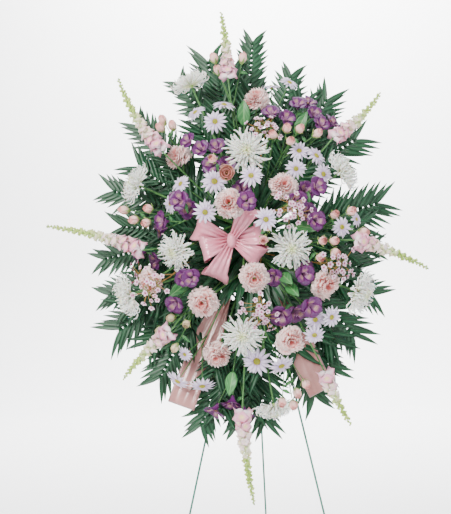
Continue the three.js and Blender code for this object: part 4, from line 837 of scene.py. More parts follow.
def snapdragon_piece(node, base, tip, curl, finishes):
    """Florets in golden-angle order up the spike: open trumpets at the foot, closed green buds at the tip."""
    radius = 2.4
    root_across, root_up = side_root(base[0], base[1])

    def build(choice):
        slide, rise = choice
        on_side = abs(root_across) > FOAM_ACROSS - 1
        root = leaned(root_across + (0 if on_side else slide), root_up + (slide if on_side else 0), 22)
        foot = seen(base[0], base[1], dome(base[0], base[1]) + base[2] + rise)
        end = seen(tip[0], tip[1], dome(tip[0], tip[1]) + tip[2] + rise)
        side = unit(np.cross(toward(foot, end), FRONT))
        bend = mix(foot, end, 0.5) + side * curl
        inward = root + toward(foot, root) * ROOT_DEPTH
        bars = [*bars_along([inward, root, foot], radius + 0.4), (foot, mix(foot, bend, 0.6), 21),
                (mix(foot, bend, 0.6), mix(bend, end, 0.4), 15), (mix(bend, end, 0.4), end, 8)]
        return {"inward": inward, "root": root, "path": (foot, bend, end), "bars": bars}

    made = settle([(slide, rise) for slide in (0, 9, -9, 18, -18) for rise in (0, 14, 28)], node, build)
    foot, bend, end = made["path"]
    bunch = Bunch()
    rng = np.random.default_rng(sum(ord(letter) for letter in node))
    stem = np.vstack([np.linspace(made["inward"], foot, 8), bezier(foot, bend, end, 16)[1:]])
    tubes(bunch, stem[None], np.linspace(2.4, 1.0, len(stem)), 7, STEM)
    length = np.linalg.norm(end - foot)
    count = int(length / 4.2)
    t = ((np.arange(count) + 0.6) / (count + 0.5)) ** 0.92
    spike = bezier(foot, bend, end, 200)
    spot = np.clip((t * 199).astype(int), 0, 199)
    centre = spike[spot]
    along = unit(spike[np.clip(spot + 1, 0, 199)] - centre + 1e-9)
    plain = unit(np.cross(along, FRONT))
    angle = np.arange(count) * GOLDEN
    out = plain * np.cos(angle)[:, None] + np.cross(along, plain) * np.sin(angle)[:, None]
    size = (14.5 * (1 - t) ** 0.7 + 4.2) * rng.uniform(0.85, 1.1, count)
    openness = np.clip((0.55 - t) / 0.4, 0, 1)
    lean = np.radians(48 + 20 * openness)[:, None]
    way = unit(along * np.cos(lean) + out * np.sin(lean))
    first = unit(np.cross(way, along))
    second = np.cross(way, first)
    local = snap_floret_grid(size * 0.86, openness)
    frames = (first, second, way)
    points = centre[:, None, None] + sum(local[..., k:k + 1] * frames[k][:, None, None] for k in range(3))
    poles = np.stack([points[:, 0].mean(1), points[:, -1].mean(1)], 1)
    closed_rings(bunch, points, poles, SNAP, rng.random(count), t)
    base_of = centre + out * 1.2
    sepal = np.stack([base_of, base_of + way * size[:, None] * 0.25, base_of + way * size[:, None] * 0.42], 1)
    tubes(bunch, sepal, np.stack([size * 0.12, size * 0.30, size * 0.34], 1), 6, SEPAL)
    return bunch.piece(node + "_fine", finishes)


# Ribbon

LOOPS = [(-84, 31, 26), (-70, -22, 30), (-40, -88, 26), (70, 15, 32), (66, -42, 20), (40, 76, 24)]
LOOP_TURNS = [0.6, -0.5, 0.55, 0.6, -0.65, 0.6]


def ribbon_sheet(name, path, half, wide, fold, finish, thick=0.4):
    """A satin band: p(s) + v half(s) wide(s), with gathers fold(s) cos(3.5 pi v) along its normal."""
    v = np.linspace(-1, 1, 19)
    along = unit(np.gradient(path, axis=0))
    wide = unit(wide - (wide * along).sum(-1, keepdims=True) * along)
    thin = np.cross(along, wide)
    gather = fold[:, None] * np.cos(3.5 * np.pi * v)[None]
    grid = path[:, None] + wide[:, None] * (half[:, None] * v)[..., None] + thin[:, None] * gather[..., None]
    bunch = Bunch()
    blades(bunch, grid[None], thick, np.array([0.5]), 0)
    bunch.marks[0][:, 0] *= np.linalg.norm(np.diff(path, axis=0), axis=1).sum() / 70
    return bunch.piece(name, {0: finish})


def loop_path(middle, item, layer, steps):
    """Out from the knot and back: length sin(pi t)^0.75 along, bulge sin(2 pi t) toward the viewer.

    Returns the path, half the width that it takes, its width's direction and sin(pi t)."""
    across, up, bulge = item
    length = math.hypot(across, up)
    out = VIEW_RIGHT * across / length + VIEW_UP * up / length
    near = -SIGHT
    knot = middle + near * (layer - 2.5) * 6
    t = np.linspace(0, 1, steps)[:, None]
    full = np.sin(np.pi * t)
    path = knot + out * (length * np.abs(full) ** 0.75 + 3) + near * (bulge * np.sin(2 * np.pi * t))
    half = 5 + (RIBBON_HALF - 5) * np.abs(full[:, 0]) ** 2.2
    return path, half, unit(np.cross(out, near)), np.abs(full[:, 0])


def claim_band(points, widths, across, node):
    """Five bars side by side along a band."""
    bars = []
    for k in range(len(points) - 1):
        for way in (-0.85, -0.42, 0, 0.42, 0.85):
            bars.append((points[k] + across[k] * way * widths[k],
                         points[k + 1] + across[k + 1] * way * widths[k + 1], 6))
    claim(bars, node)


BODY = "stand"


def ride_as(piece, node):
    """The piece rides on the stand in the node's place, and the node's own solid is hidden."""
    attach(piece, BODY)
    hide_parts(node)


def place_ribbon(piece, node):
    """Sets a band on the stand in the node's place."""
    ride_as(piece, node)


def bow_pieces(satin, wire):
    """Six loops in layers round a knot on a wire pick; each turns about its length to open sideways."""
    node = "ribbon_bow"
    knot = seen(*BOW)
    root = leaned(46 * math.tanh(BOW[0] * 0.4 / 190), 106 * math.tanh(BOW[1] / 250), FOAM_DEEP)
    pick = [root + toward(knot, root) * ROOT_DEPTH, root, knot]
    claim(bars_along(pick, 2), node)
    for layer, item in enumerate(LOOPS):
        path, half, wide, _ = loop_path(knot, item, layer, 7)
        claim_band(path, half, [wide] * 7, node)
    for layer, item in enumerate(LOOPS):
        path, _, wide, full = loop_path(knot, item, layer, 49)
        half = 9 + (RIBBON_HALF - 9) * full ** 0.9
        fold = 5.0 * (1 - full) ** 1.8 + 0.2
        turn = LOOP_TURNS[layer] * full[:, None] ** 0.5
        wide = wide * np.cos(turn) - SIGHT * np.sin(turn)
        piece = ribbon_sheet(f"ribbon_loop_{layer + 1}", path, half, wide, fold, satin)
        place_ribbon(piece, node)
    tie = Bunch()
    core = knot - SIGHT * 4 + VIEW_UP * np.linspace(-17, 17, 9)[:, None]
    stout = 12 + 8.5 * np.sin(np.linspace(0, np.pi, 9)) ** 0.6
    tubes(tie, core[None], stout, 20, 0, flat=0.58, face=VIEW_RIGHT)
    ride_as(tie.piece("ribbon_knot", {0: satin}), node)
    pick_bunch = Bunch()
    tubes(pick_bunch, np.linspace(pick[0], pick[2], 8)[None], 1.5, 8, 0)
    ride_as(pick_bunch.piece("bow_pick", {0: wire}), node)


def tail_pieces(node, places, satin, wire):
    """A band down through its places, gathered at the pick and rippling 5 sin(2.1 s) proud lower down."""
    points = np.array([seen(*place) for place in places])
    root = leaned(*side_root(places[0][0], places[0][1]), places[0][2])
    inward = root + toward(points[0], root) * ROOT_DEPTH
    pick = [inward, root, points[0], mix(points[0], points[1], 0.4)]
    claim(bars_along(pick, 2), node)
    widths = [7 if i == 0 else min(RIBBON_HALF, 14 + i * 14) for i in range(len(points))]
    across = [unit(np.cross(toward(points[max(0, i - 1)], points[min(len(points) - 1, i + 1)]), FRONT))
              for i in range(len(points))]
    claim_band(points, widths, across, node)
    steps = 57
    s = np.linspace(0, len(points) - 1, steps)
    path = np.stack([np.interp(s, np.arange(len(points)), points[:, k]) for k in range(3)], 1)
    smooth = np.vstack([path[:1], (path[:-2] + 2 * path[1:-1] + path[2:]) / 4, path[-1:]])
    ripple = np.sin(s * 2.1) * np.linspace(0, 5, steps)
    smooth = smooth + FRONT * ripple[:, None]
    half = 10 + (RIBBON_HALF - 10) * np.clip(s / 1.5, 0, 1)
    wide = np.array([np.interp(s, np.arange(len(points)), np.array(across)[:, k]) for k in range(3)]).T
    fold = 6.5 * (1 - np.clip(s / 1.6, 0, 1)) ** 1.2 + 0.9
    piece = ribbon_sheet(node + "_satin", smooth, half, wide, fold, satin)
    place_ribbon(piece, node)
    bunch = Bunch()
    stalk = np.vstack([np.linspace(pick[0], pick[2], 6), mix(points[0], points[1], 0.1)])
    tubes(bunch, stalk[None], 1.5, 8, 0)
    ride_as(bunch.piece(node + "_pick", {0: wire}), node)


# Materials

def colour(code):
    """#rrggbb as linear red, green, blue and 1."""
    parts = [int(code[k:k + 2], 16) / 255 for k in (1, 3, 5)]
    return (*[c / 12.92 if c <= 0.04045 else ((c + 0.055) / 1.055) ** 2.4 for c in parts], 1.0)


class Shade:
    """A socket with arithmetic: an expression on values adds its Math nodes."""

    def __init__(self, paint, socket):
        self.paint, self.socket = paint, socket

    def _math(self, operation, *values):
        return self.paint.add("ShaderNodeMath", {"operation": operation}, dict(enumerate(values)))

    def __add__(self, other):
        return self._math("ADD", self, other)

    def __sub__(self, other):
        return self._math("SUBTRACT", self, other)

    def __rsub__(self, other):
        return self._math("SUBTRACT", other, self)

    def __mul__(self, other):
        return self._math("MULTIPLY", self, other)

    def __truediv__(self, other):
        return self._math("DIVIDE", self, other)

    def __pow__(self, other):
        return self._math("POWER", self, other)

    __radd__, __rmul__ = __add__, __mul__

    def size(self):
        return self._math("ABSOLUTE", self)

    def wave(self):
        return self._math("SINE", self)

    def ramp(self, low, high):
        """0 below low, 1 above high and straight between them."""
        return self.paint.add("ShaderNodeMapRange", {"clamp": True},
                              {"Value": self, "From Min": low, "From Max": high})


class Paint:
    """One material's node tree."""

    def __init__(self, name, **settings):
        self.material = bpy.data.materials.new(name)
        self.material.use_nodes = True
        self.tree = self.material.node_tree
        self.shader = self.tree.nodes["Principled BSDF"]
        for title, value in settings.items():
            self.shader.inputs[title.replace("_", " ")].default_value = value

    def add(self, kind, settings=None, inputs=None, output=0):
        node = self.tree.nodes.new(kind)
        for title, value in (settings or {}).items():
            setattr(node, title, value)
        for title, value in (inputs or {}).items():
            self.link(value, node.inputs[title])
        return Shade(self, node.outputs[output])

    def link(self, value, socket):
        if isinstance(value, Shade):
            self.tree.links.new(value.socket, socket)
        else:
            socket.default_value = value

    def blend(self, share, low, high, mode="MIX"):
        node = self.tree.nodes.new("ShaderNodeMix")
        node.data_type = "RGBA"
        node.blend_type = mode
        self.link(share, node.inputs["Factor"])
        self.link(low, node.inputs[6])
        self.link(high, node.inputs[7])
        return Shade(self, node.outputs[2])

    def set(self, title, value):
        self.link(value, self.shader.inputs[title])

    def mark(self, title):
        return self.add("ShaderNodeAttribute", {"attribute_name": title}, output="Fac")

    def surface(self):
        """The two surface coordinates of a petal or leaf: 0 to 1 along and -1 to 1 across."""
        uv = self.add("ShaderNodeUVMap", {"uv_map": "surface"})
        node = self.tree.nodes.new("ShaderNodeSeparateXYZ")
        self.tree.links.new(uv.socket, node.inputs[0])
        return Shade(self, node.outputs[0]), Shade(self, node.outputs[1])

    def noise(self, scale, detail=3.0):
        place = self.add("ShaderNodeTexCoord", output="Object")
        return self.add("ShaderNodeTexNoise", {}, {"Vector": place, "Scale": scale, "Detail": detail})

    def bump(self, height, strength, distance=0.001):
        self.set("Normal", self.add("ShaderNodeBump", {}, {"Height": height, "Strength": strength,
                                                          "Distance": distance}))


def petal_paint(name, foot, body, edge, veins=26, roughness=0.5, mottle=0.25, glow=0.12, edge_from=0.55):
    """A petal from its foot's colour to its edge's, with fine veins and a tone of its own."""
    paint = Paint(name, Roughness=roughness, Subsurface_Weight=glow)
    paint.shader.inputs["Subsurface Scale"].default_value = 0.004
    paint.shader.inputs["Subsurface Radius"].default_value = (1.0, 0.6, 0.5)
    u, v = paint.surface()
    tone = paint.mark("tone")
    shade = paint.blend(u.ramp(0.0, 0.5), colour(foot), colour(body))
    shade = paint.blend(u.ramp(edge_from, 1.0), shade, colour(edge))
    cloud = paint.noise(90)
    shade = paint.blend((cloud * 0.6 + tone * 0.5) * mottle, shade, colour(foot), "MULTIPLY")
    vein = (v * veins + u * 2).wave() * 0.5 + 0.5
    shade = paint.blend(vein * 0.10, shade, colour(foot))
    paint.set("Base Color", shade)
    paint.bump(vein * 0.6 + cloud * 0.4, 0.25, 0.0006)
    return paint


def leaf_paint(name, dark, light, rib, roughness=0.38, veins=16, slant=0.0):
    """A leaf with a pale midrib, side veins at a slant and a tone of its own."""
    paint = Paint(name, Roughness=roughness)
    u, v = paint.surface()
    tone = paint.mark("tone")
    cloud = paint.noise(38)
    shade = paint.blend(cloud.ramp(0.35, 0.7) * 0.55 + tone * 0.45, colour(dark), colour(light))
    midrib = 1 - v.size().ramp(0.0, 0.13)
    shade = paint.blend(midrib * 0.65, shade, colour(rib))
    vein = ((v * veins) + v.size() * slant + u * (slant * 2)).wave() * 0.5 + 0.5
    shade = paint.blend((vein ** 4) * 0.22, shade, colour(rib))
    shade = paint.blend(u.ramp(0.9, 1.0) * 0.35, shade, colour(light))
    paint.set("Base Color", shade)
    paint.set("Roughness", cloud * 0.2 + (roughness - 0.08))
    paint.bump(vein * 0.5 + midrib * -0.8, 0.35, 0.0008)
    return paint.material


def plain_paint(name, dark, light, roughness, scale, bump=0.3, metallic=0.0, coat=0.0):
    """One finish that clouds between two tones."""
    paint = Paint(name, Roughness=roughness, Metallic=metallic, Coat_Weight=coat)
    cloud = paint.noise(scale, 5.0)
    paint.set("Base Color", paint.blend(cloud.ramp(0.3, 0.7), colour(dark), colour(light)))
    paint.set("Roughness", cloud * 0.25 + (roughness - 0.12))
    paint.bump(cloud, bump, 0.0006)
    return paint


def streaked_paint():
    """An alstroemeria's inner tepal: pale with a yellow flash, a purple tip and short dark streaks."""
    paint = Paint("alstroemeria_inner", Roughness=0.45, Subsurface_Weight=0.1)
    u, v = paint.surface()
    shade = paint.blend(u.ramp(0.25, 0.5), colour("#b58aa8"), colour("#8a3c88"))
    flash = u.ramp(0.35, 0.5) * (1 - u.ramp(0.62, 0.8)) * (1 - v.size().ramp(0.3, 0.9))
    shade = paint.blend(flash * 0.45, shade, colour("#dcc45c"))
    shade = paint.blend(u.ramp(0.5, 0.78), shade, colour("#4f1054"))
    dash = ((v * 17).wave().ramp(0.55, 0.8)) * ((u * 46 + v.size() * 9).wave().ramp(-0.2, 0.2))
    shade = paint.blend(dash * u.ramp(0.3, 0.42) * (1 - u.ramp(0.8, 0.95)) * 0.9, shade, colour("#6b1746"))
    paint.set("Base Color", shade)
    paint.bump((v * 22).wave(), 0.2, 0.0006)
    return paint.material


def snapdragon_paint():
    """Ripeness runs up the spike: pink florets, cream ones above them and lime-green buds at the tip."""
    paint = Paint("snapdragon_petal", Roughness=0.5, Subsurface_Weight=0.15)
    paint.shader.inputs["Subsurface Scale"].default_value = 0.004
    u, v = paint.surface()
    ripe, tone = paint.mark("ripe"), paint.mark("tone")
    lip = paint.blend(u.ramp(0.35, 0.6), colour("#f7dfe4"), colour("#eda3c0"))
    lip = paint.blend(u.ramp(0.75, 0.95), lip, colour("#f3e3a2"))
    cream = paint.blend(u.ramp(0.3, 0.7), colour("#e9eec0"), colour("#f6e3e2"))
    shade = paint.blend((ripe + tone * 0.12).ramp(0.16, 0.4), lip, cream)
    bud = paint.blend(tone, colour("#b9cf6a"), colour("#a3bf55"))
    shade = paint.blend((ripe + tone * 0.1).ramp(0.42, 0.62), shade, bud)
    paint.set("Base Color", shade)
    paint.bump((v * 8).wave(), 0.15, 0.0006)
    return paint.material


def satin_paint(name, dark, light, selvedge):
    """Satin: a fine rib across the band, a firm selvedge and a soft sheen."""
    paint = Paint(name, Roughness=0.3, Sheen_Weight=0.3, Anisotropic=0.6, Coat_Weight=0.25)
    paint.shader.inputs["Specular IOR Level"].default_value = 0.75
    u, v = paint.surface()
    cloud = paint.noise(26)
    shade = paint.blend(cloud.ramp(0.3, 0.75), colour(dark), colour(light))
    edge = v.size().ramp(0.93, 0.97)
    shade = paint.blend(edge * 0.5, shade, colour(selvedge))
    paint.set("Base Color", shade)
    paint.set("Roughness", cloud * 0.1 + 0.18)
    rib = (u * 420).wave() * 0.5 + (v * 160).wave() * 0.3
    paint.bump(rib + edge * 2, 0.12, 0.0004)
    return paint.material


def eye_paint():
    """A daisy's eye: olive at the middle and yellow toward its rim."""
    paint = Paint("daisy_eye", Roughness=0.6)
    ripe, tone = paint.mark("ripe"), paint.mark("tone")
    shade = paint.blend(ripe.ramp(0.15, 0.8), colour("#7d8c22"), colour("#bfae2c"))
    shade = paint.blend(tone * 0.4, shade, colour("#d6c94e"))
    paint.set("Base Color", shade)
    paint.bump(paint.noise(900), 0.3, 0.0005)
    return paint.material


def mum_paint():
    """White quills whose feet, and the young ones at the heart, are greenish yellow."""
    paint = Paint("mum_petal", Roughness=0.5, Subsurface_Weight=0.18)
    paint.shader.inputs["Subsurface Scale"].default_value = 0.004
    u, v = paint.surface()
    ripe, tone = paint.mark("ripe"), paint.mark("tone")
    shade = paint.blend(u.ramp(0.05, 0.5), colour("#dbe3a6"), colour("#fbfcf6"))
    shade = paint.blend(ripe.ramp(0.66, 1.0), shade, colour("#e6eba4"))
    shade = paint.blend(tone * 0.15, shade, colour("#edf2e2"))
    paint.set("Base Color", shade)
    paint.bump((v * 9).wave(), 0.2, 0.0006)
    return paint.material


def rose_paint():
    """Rose petals, greener where the bud is young."""
    paint = petal_paint("rose_petal", "#f6d6c4", "#f8c8be", "#f0928f", veins=14, roughness=0.45, glow=0.15,
                        edge_from=0.7)
    ripe = paint.mark("ripe")
    shader_colour = Shade(paint, paint.shader.inputs["Base Color"].links[0].from_socket)
    paint.set("Base Color", paint.blend(ripe * 0.8, shader_colour, colour("#bcc98a")))
    return paint.material


def make_finishes():
    """Every petal, leaf and stem material by its finish number."""
    return {
        PALM: leaf_paint("palm_leaf", "#053019", "#0f4c29", "#2c6b41", roughness=0.42, veins=9),
        LEAF: leaf_paint("broad_leaf", "#1f5a2c", "#3a7d3f", "#7bb06c", roughness=0.4, veins=4, slant=11),
        STEM: plain_paint("stem_green", "#2c5a2a", "#4f8240", 0.5, 120).material,
        MUM: mum_paint(),
        CARNATION: petal_paint("carnation_petal", "#e88482", "#f5aca6", "#fdf0ea", veins=30, roughness=0.62,
                               edge_from=0.66).material,
        DAISY: petal_paint("daisy_petal", "#c3a6d2", "#e3d5ec", "#f5eff8", veins=11, roughness=0.5).material,
        EYE: eye_paint(),
        FLORET: petal_paint("alstroemeria_outer", "#7c3480", "#58125c", "#430a48", veins=14, roughness=0.42,
                            edge_from=0.7).material,
        INNER: streaked_paint(),
        STAMEN: plain_paint("stamen", "#8c4a78", "#c7a0b8", 0.5, 200).material,
        ROSE: rose_paint(),
        SEPAL: plain_paint("sepal_green", "#6f9a4a", "#a9c477", 0.5, 140).material,
        WAX: petal_paint("waxflower_petal", "#dc8fb4", "#f0cfe0", "#f8e8f0", veins=6,
                         roughness=0.35).material,
        WAX_HEART: plain_paint("waxflower_heart", "#7c2348", "#b2507a", 0.4, 200).material,
        NEEDLE: plain_paint("needle_leaf", "#4d7a35", "#86a64e", 0.45, 150).material,
        WOOD: plain_paint("twig", "#7d5a2d", "#a5803f", 0.6, 160).material,
        SNAP: snapdragon_paint(),
    }


FINISHES = make_finishes()
SATIN = satin_paint("bow_satin", "#d9788f", "#ec9fb0", "#b9667c")
# The tails' satin is the bow's satin painted darker: painted shade for tails that hang behind the flowers.
TAIL_SATIN_PAINTED_SHADE = satin_paint("tail_satin", "#9c6763", "#bb8780", "#7d504e")
WIRE_GREEN = plain_paint("pick_wire", "#4f7a4a", "#7aa36a", 0.4, 90, metallic=0.2).material


def wire_paint():
    """Dark teal-green coat on the easel's wire, a little worn where it rubs."""
    paint = Paint("easel_wire", Roughness=0.34, Metallic=0.25, Coat_Weight=0.35)
    cloud, wear = paint.noise(14, 4.0), paint.noise(160, 6.0)
    shade = paint.blend(cloud.ramp(0.3, 0.7), colour("#0a4c3d"), colour("#12705a"))
    shade = paint.blend(wear.ramp(0.68, 0.74) * 0.6, shade, colour("#5b6a63"))
    paint.set("Base Color", shade)
    paint.set("Roughness", wear * 0.3 + 0.2)
    paint.bump(wear, 0.2, 0.0004)
    return paint.material


def foam_paint():
    """Wet floral foam: green, matt and full of fine pores, each darkened with painted shade."""
    paint = Paint("floral_foam", Roughness=0.92)
    place = paint.add("ShaderNodeTexCoord", output="Object")
    pores = paint.add("ShaderNodeTexVoronoi", {}, {"Vector": place, "Scale": 420.0})
    cloud = paint.noise(22)
    shade = paint.blend(cloud.ramp(0.3, 0.7), colour("#24552f"), colour("#3a7a45"))
    # Painted shade: each pore is darkened toward deep green, as if shade fell into the hole.
    shade = paint.blend((1 - pores.ramp(0.0, 0.5)) * 0.5, shade, colour("#163c20"))
    paint.set("Base Color", shade)
    paint.bump(pores, 0.6, 0.001)
    return paint.material


def dress(node, material):
    """Gives a kept solid its material."""
    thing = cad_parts[node]
    if not thing.data.materials:
        thing.data.materials.append(material)
    for place in thing.material_slots:
        place.material = material


WIRE = wire_paint()
for kept, material in (("easel_front_frame", WIRE), ("easel_rear_leg", WIRE), ("foam_block", foam_paint()),
                       ("foam_cage", plain_paint("cage_plastic", "#1b5330", "#2a7443", 0.42, 60).material)):
    dress(kept, material)

# Places, all as across and up from the hub as the camera sees them, in millimetres

TAILS = {
    "ribbon_tail_left": [(-58, -135, 20), (-85, -190, 26), (-118, -270, 32), (-150, -345, 34),
                         (-175, -415, 30)],
    "ribbon_tail_right": [(70, -135, 20), (95, -200, 26), (125, -270, 32), (152, -330, 30),
                          (178, -378, 26)],
}
FRONDS = [
    ("fronds_top", -27, [(-98, 350, -108, 447, 90), (-2, 400, 4, 495, 62), (-112, 345, -178, 390, 62)]),
    ("fronds_top_right", -9, [(72, 325, 100, 412, 66), (130, 262, 190, 352, 80), (198, 225, 262, 252, 84)]),
    ("fronds_right", -27, [(235, 75, 318, 92, 88), (240, -38, 300, -18, 66), (235, -125, 306, -138, 74)]),
    ("fronds_lower_right", -8, [(126, -318, 160, -392, 74), (156, -268, 208, -330, 66),
                                (205, -150, 258, -240, 84)]),
    ("fronds_bottom", 3, [(29, -379, 35, -455, 76), (-40, -401, -38, -470, 58), (-84, -385, -126, -465, 72)]),
    ("fronds_lower_left", -6, [(-190, -270, -228, -345, 82), (-245, -170, -330, -225, 92),
                               (-262, -120, -355, -138, 70)]),
    ("fronds_left", 12, [(-278, -20, -368, -48, 66), (-272, 122, -345, 122, 76), (-212, 236, -278, 284, 78)]),
]
SNAPDRAGONS = [
    ("snapdragon_top", (-58, 405, 20), (-75, 570, 10), 6),
    ("snapdragon_upper_left", (-222, 222, 20), (-332, 405, 20), -26),
    ("snapdragon_left", (-270, -25, 20), (-512, 35, 10), 14),
    ("snapdragon_lower_left", (-200, -225, 20), (-320, -348, 30), 12),
    ("snapdragon_bottom", (-22, -420, 22), (8, -662, 8), 10),
    ("snapdragon_lower_right", (182, -325, 25), (250, -462, 20), 8),
    ("snapdragon_right", (258, 0, 20), (444, -72, 10), -16),
    ("snapdragon_upper_right", (205, 255, 20), (322, 368, 20), 20),
]

HOOP_UP, HOOP_RADIUS = 62, 1.6
HOOP_ACROSS, HOOP_FRONT, HOOP_BACK = 53.9, 41.9, -41.3


def hoop_bars(up):
    """The three bars of the cage's hoop at a height up the foam."""
    turns = ((-1, HOOP_BACK), (-1, HOOP_FRONT), (1, HOOP_FRONT), (1, HOOP_BACK))
    return bars_along([leaned(side * HOOP_ACROSS, up, proud) for side, proud in turns], HOOP_RADIUS)


SPRAYS = [
    ("mums_top", "mum", 2.8,
     [[(-12, 222, 10, 0.75, 1)], [(-152, 392, 0, 0.05, 0.9)]]),
    ("mums_left", "mum", 2.8,
     [[(-188, -15, 6, 0.35, 0.88)], [(-288, 140, 0, 0.25, 0.9)]]),
    ("mums_lower_left", "mum", 2.8,
     [[(-308, -138, 0, 0.15, 1)]]),
    ("mums_right", "mum", 2.8,
     [[(100, -20, 0, 0.7, 0.94)], [(228, 172, 0, 0.05, 0.95)]]),
    ("mums_lower_right", "mum", 2.8,
     [[(272, -132, 0, 0.05, 1)]]),
    ("mums_bottom", "mum", 2.8,
     [[(-22, -238, 10, 0.75, 0.9)], [(45, -420, 0, 0.1, 0.85)]]),
    ("carnations_top", "carnation", 2.6,
     [[(15, 352, 0, 0.45, 0.98)]]),
    ("carnations_left", "carnation", 2.6,
     [[(-190, 202, 0, 0.45, 0.94)], [(-252, -104, -6, 0.3, 0.93)]]),
    ("carnations_middle", "carnation", 2.6,
     [[(-55, 92, 25, 0.6, 1.02)], [(8, -95, 25, 0.65, 0.98)]]),
    ("carnations_right", "carnation", 2.6,
     [[(88, 135, 5, 0.55, 0.95)], [(185, -112, 10, 0.45, 0.98)]]),
    ("carnations_lower", "carnation", 2.6,
     [[(110, -250, 5, 0.5, 0.95)], [(-85, -285, 5, 0.5, 0.95)], [(-120, -155, 20, 0.55, 1)]]),
    ("daisies_top_left", "daisy", 2.2,
     [[(-68, 336, 0, 0.2, 0.95), (-138, 318, 0, 0.3, 0.85), (-90, 296, 8, 0.7, 0.92)]]),
    ("daisies_top_right", "daisy", 2.2,
     [[(95, 392, 0, 0.3, 0.85), (50, 382, 0, 0.1, 0.8)]]),
    ("daisies_right", "daisy", 2.2,
     [[(120, 222, 0, 0.5, 0.85), (162, 210, 0, 0.3, 0.85), (186, 165, 5, 0.3, 0.85),
       (112, 178, 8, 0.5, 0.82)]]),
    ("daisies_middle", "daisy", 2.2,
     [[(0, 160, 10, 0.5, 0.9), (30, 45, 30, 0.8, 0.85)]]),
    ("daisies_left", "daisy", 2.2,
     [[(-92, 146, 12, 0.6, 1), (-175, 140, 0, 0.4, 0.82), (-200, 92, 0, 0.3, 0.82),
       (-115, 70, 25, 0.8, 0.9)]]),
    ("daisies_lower_right", "daisy", 2.2,
     [[(160, -198, 0, 0.5, 0.82), (200, -192, 0, 0.3, 0.82), (158, -236, 5, 0.5, 0.8)]]),
    ("daisies_bottom", "daisy", 2.2,
     [[(15, -302, 5, 0.7, 1.15), (75, -312, 0, 0.1, 1)]]),
    ("daisies_lower_left", "daisy", 2.2,
     [[(-122, -362, 0, 0.1, 1), (-182, -350, 0, 0.1, 0.98), (-165, -285, 0, 0.3, 0.6)]]),
    ("daisies_far_right", "daisy", 2.2,
     [[(226, 20, 0, 0.2, 0.8), (262, 52, 0, 0.2, 0.6)]]),
    ("alstroemeria_upper_left", "floret", 2.4,
     [[(-158, 248, 0, 0.4, 0.85), (-126, 228, 0, 0.5, 0.9)],
      [(-98, 188, 0, 0.5, 1), (-60, 186, 5, 0.6, 1), (-85, 232, 0, 0.5, 1)]]),
    ("alstroemeria_left", "floret", 2.4,
     [[(-180, 100, 0, 0.4, 1), (-156, 78, 5, 0.4, 1)], [(-215, 55, 0, 0.3, 1), (-228, 24, 0, 0.3, 1)]]),
    ("alstroemeria_lower_left", "floret", 2.4,
     [[(-282, -30, 0, 0.3, 1), (-226, -52, 0, 0.3, 0.9)],
      [(-175, -88, 0, 0.4, 0.9), (-150, -94, 0, 0.4, 0.9), (-190, -158, 0, 0.4, 1)]],
     [(-182, -124, 0, 62, 15)]),
    ("alstroemeria_top_right", "floret", 2.4,
     [[(50, 318, 0, 0.3, 0.95), (76, 304, 0, 0.4, 0.95)],
      [(118, 340, 0, 0.4, 0.9), (144, 344, 0, 0.4, 0.9), (158, 316, 0, 0.4, 0.9)],
      [(175, 290, 0, 0.3, 0.95), (202, 294, 0, 0.3, 0.95)]],
     [(125, 292, 0, 66, 15)]),
    ("alstroemeria_middle", "floret", 2.4,
     [[(-10, 126, 15, 0.6, 0.95), (-24, 98, 20, 0.6, 0.95)]]),
    ("alstroemeria_right", "floret", 2.4,
     [[(110, 106, 5, 0.4, 0.95), (136, 124, 0, 0.4, 0.95), (166, 134, 0, 0.3, 0.95)],
      [(140, 70, 0, 0.4, 0.95), (162, 50, 0, 0.3, 0.95)]],
     [(138, 32, 0, 70, 17)]),
    ("alstroemeria_lower_right", "floret", 2.4,
     [[(120, -70, 5, 0.4, 1), (146, -86, 0, 0.4, 1), (56, -92, 10, 0.4, 0.9)],
      [(76, -188, 5, 0.3, 1.1), (112, -180, 0, 0.3, 1.1), (150, -165, 0, 0.3, 1.1)]],
     [(88, -96, 0, 62, 15), (104, -124, 10, 58, 14)]),
    ("alstroemeria_bottom", "floret", 2.4,
     [[(-48, -408, 0, 0.1, 1.05), (-78, -426, 0, 0.1, 1.05), (-22, -430, 0, 0.1, 1.05)]],
     [(-50, -358, 0, 60, 15)]),
    ("roses_top", "bud", 2,
     [[(-62, 475, 20, 0.1, 1), (-90, 446, 20, 0.1, 1), (-30, 446, 20, 0.1, 1), (-80, 416, 20, 0.2, 1)]],
     [(-18, 318, 0, 64, 17)]),
    ("roses_left", "bud", 2,
     [[(-228, 268, 10, 0.1, 1), (-200, 272, 10, 0.1, 1), (-216, 292, 10, 0.1, 1)],
      [(-308, 74, 10, 0.1, 1), (-284, 52, 10, 0.1, 1), (-250, 78, 10, 0.1, 1), (-256, 46, 10, 0.2, 1)]]),
    ("roses_upper", "bud", 2,
     [[(-95, 214, 20, 0.3, 1), (-62, 168, 20, 0.8, 1.2)],
      [(58, 258, 10, 0.3, 1), (88, 272, 10, 0.3, 1), (118, 272, 10, 0.3, 1), (96, 244, 10, 0.3, 1),
       (158, 262, 10, 0.2, 1)]]),
    ("roses_right", "bud", 2,
     [[(40, 32, 34, 0.4, 1), (40, 2, 34, 0.4, 1)],
      [(168, -2, 10, 0.2, 1), (200, -2, 10, 0.1, 1), (170, -40, 10, 0.2, 1), (204, -28, 10, 0.1, 1)],
      [(212, 52, 10, 0.1, 1), (244, 70, 10, 0.1, 1), (272, 22, 10, 0.1, 1)]]),
    ("roses_lower_left", "bud", 2,
     [[(-192, -192, 10, 0.1, 0.9), (-160, -206, 10, 0.2, 0.9), (-220, -220, 10, 0.1, 0.9),
       (-206, -242, 10, 0.1, 0.9), (-186, -262, 10, 0.1, 0.9)]]),
    ("roses_bottom", "bud", 2,
     [[(78, -398, 10, 0.1, 0.95), (104, -404, 10, 0.1, 0.95), (112, -374, 10, 0.1, 0.95),
       (132, -352, 10, 0.1, 0.95)]]),
]
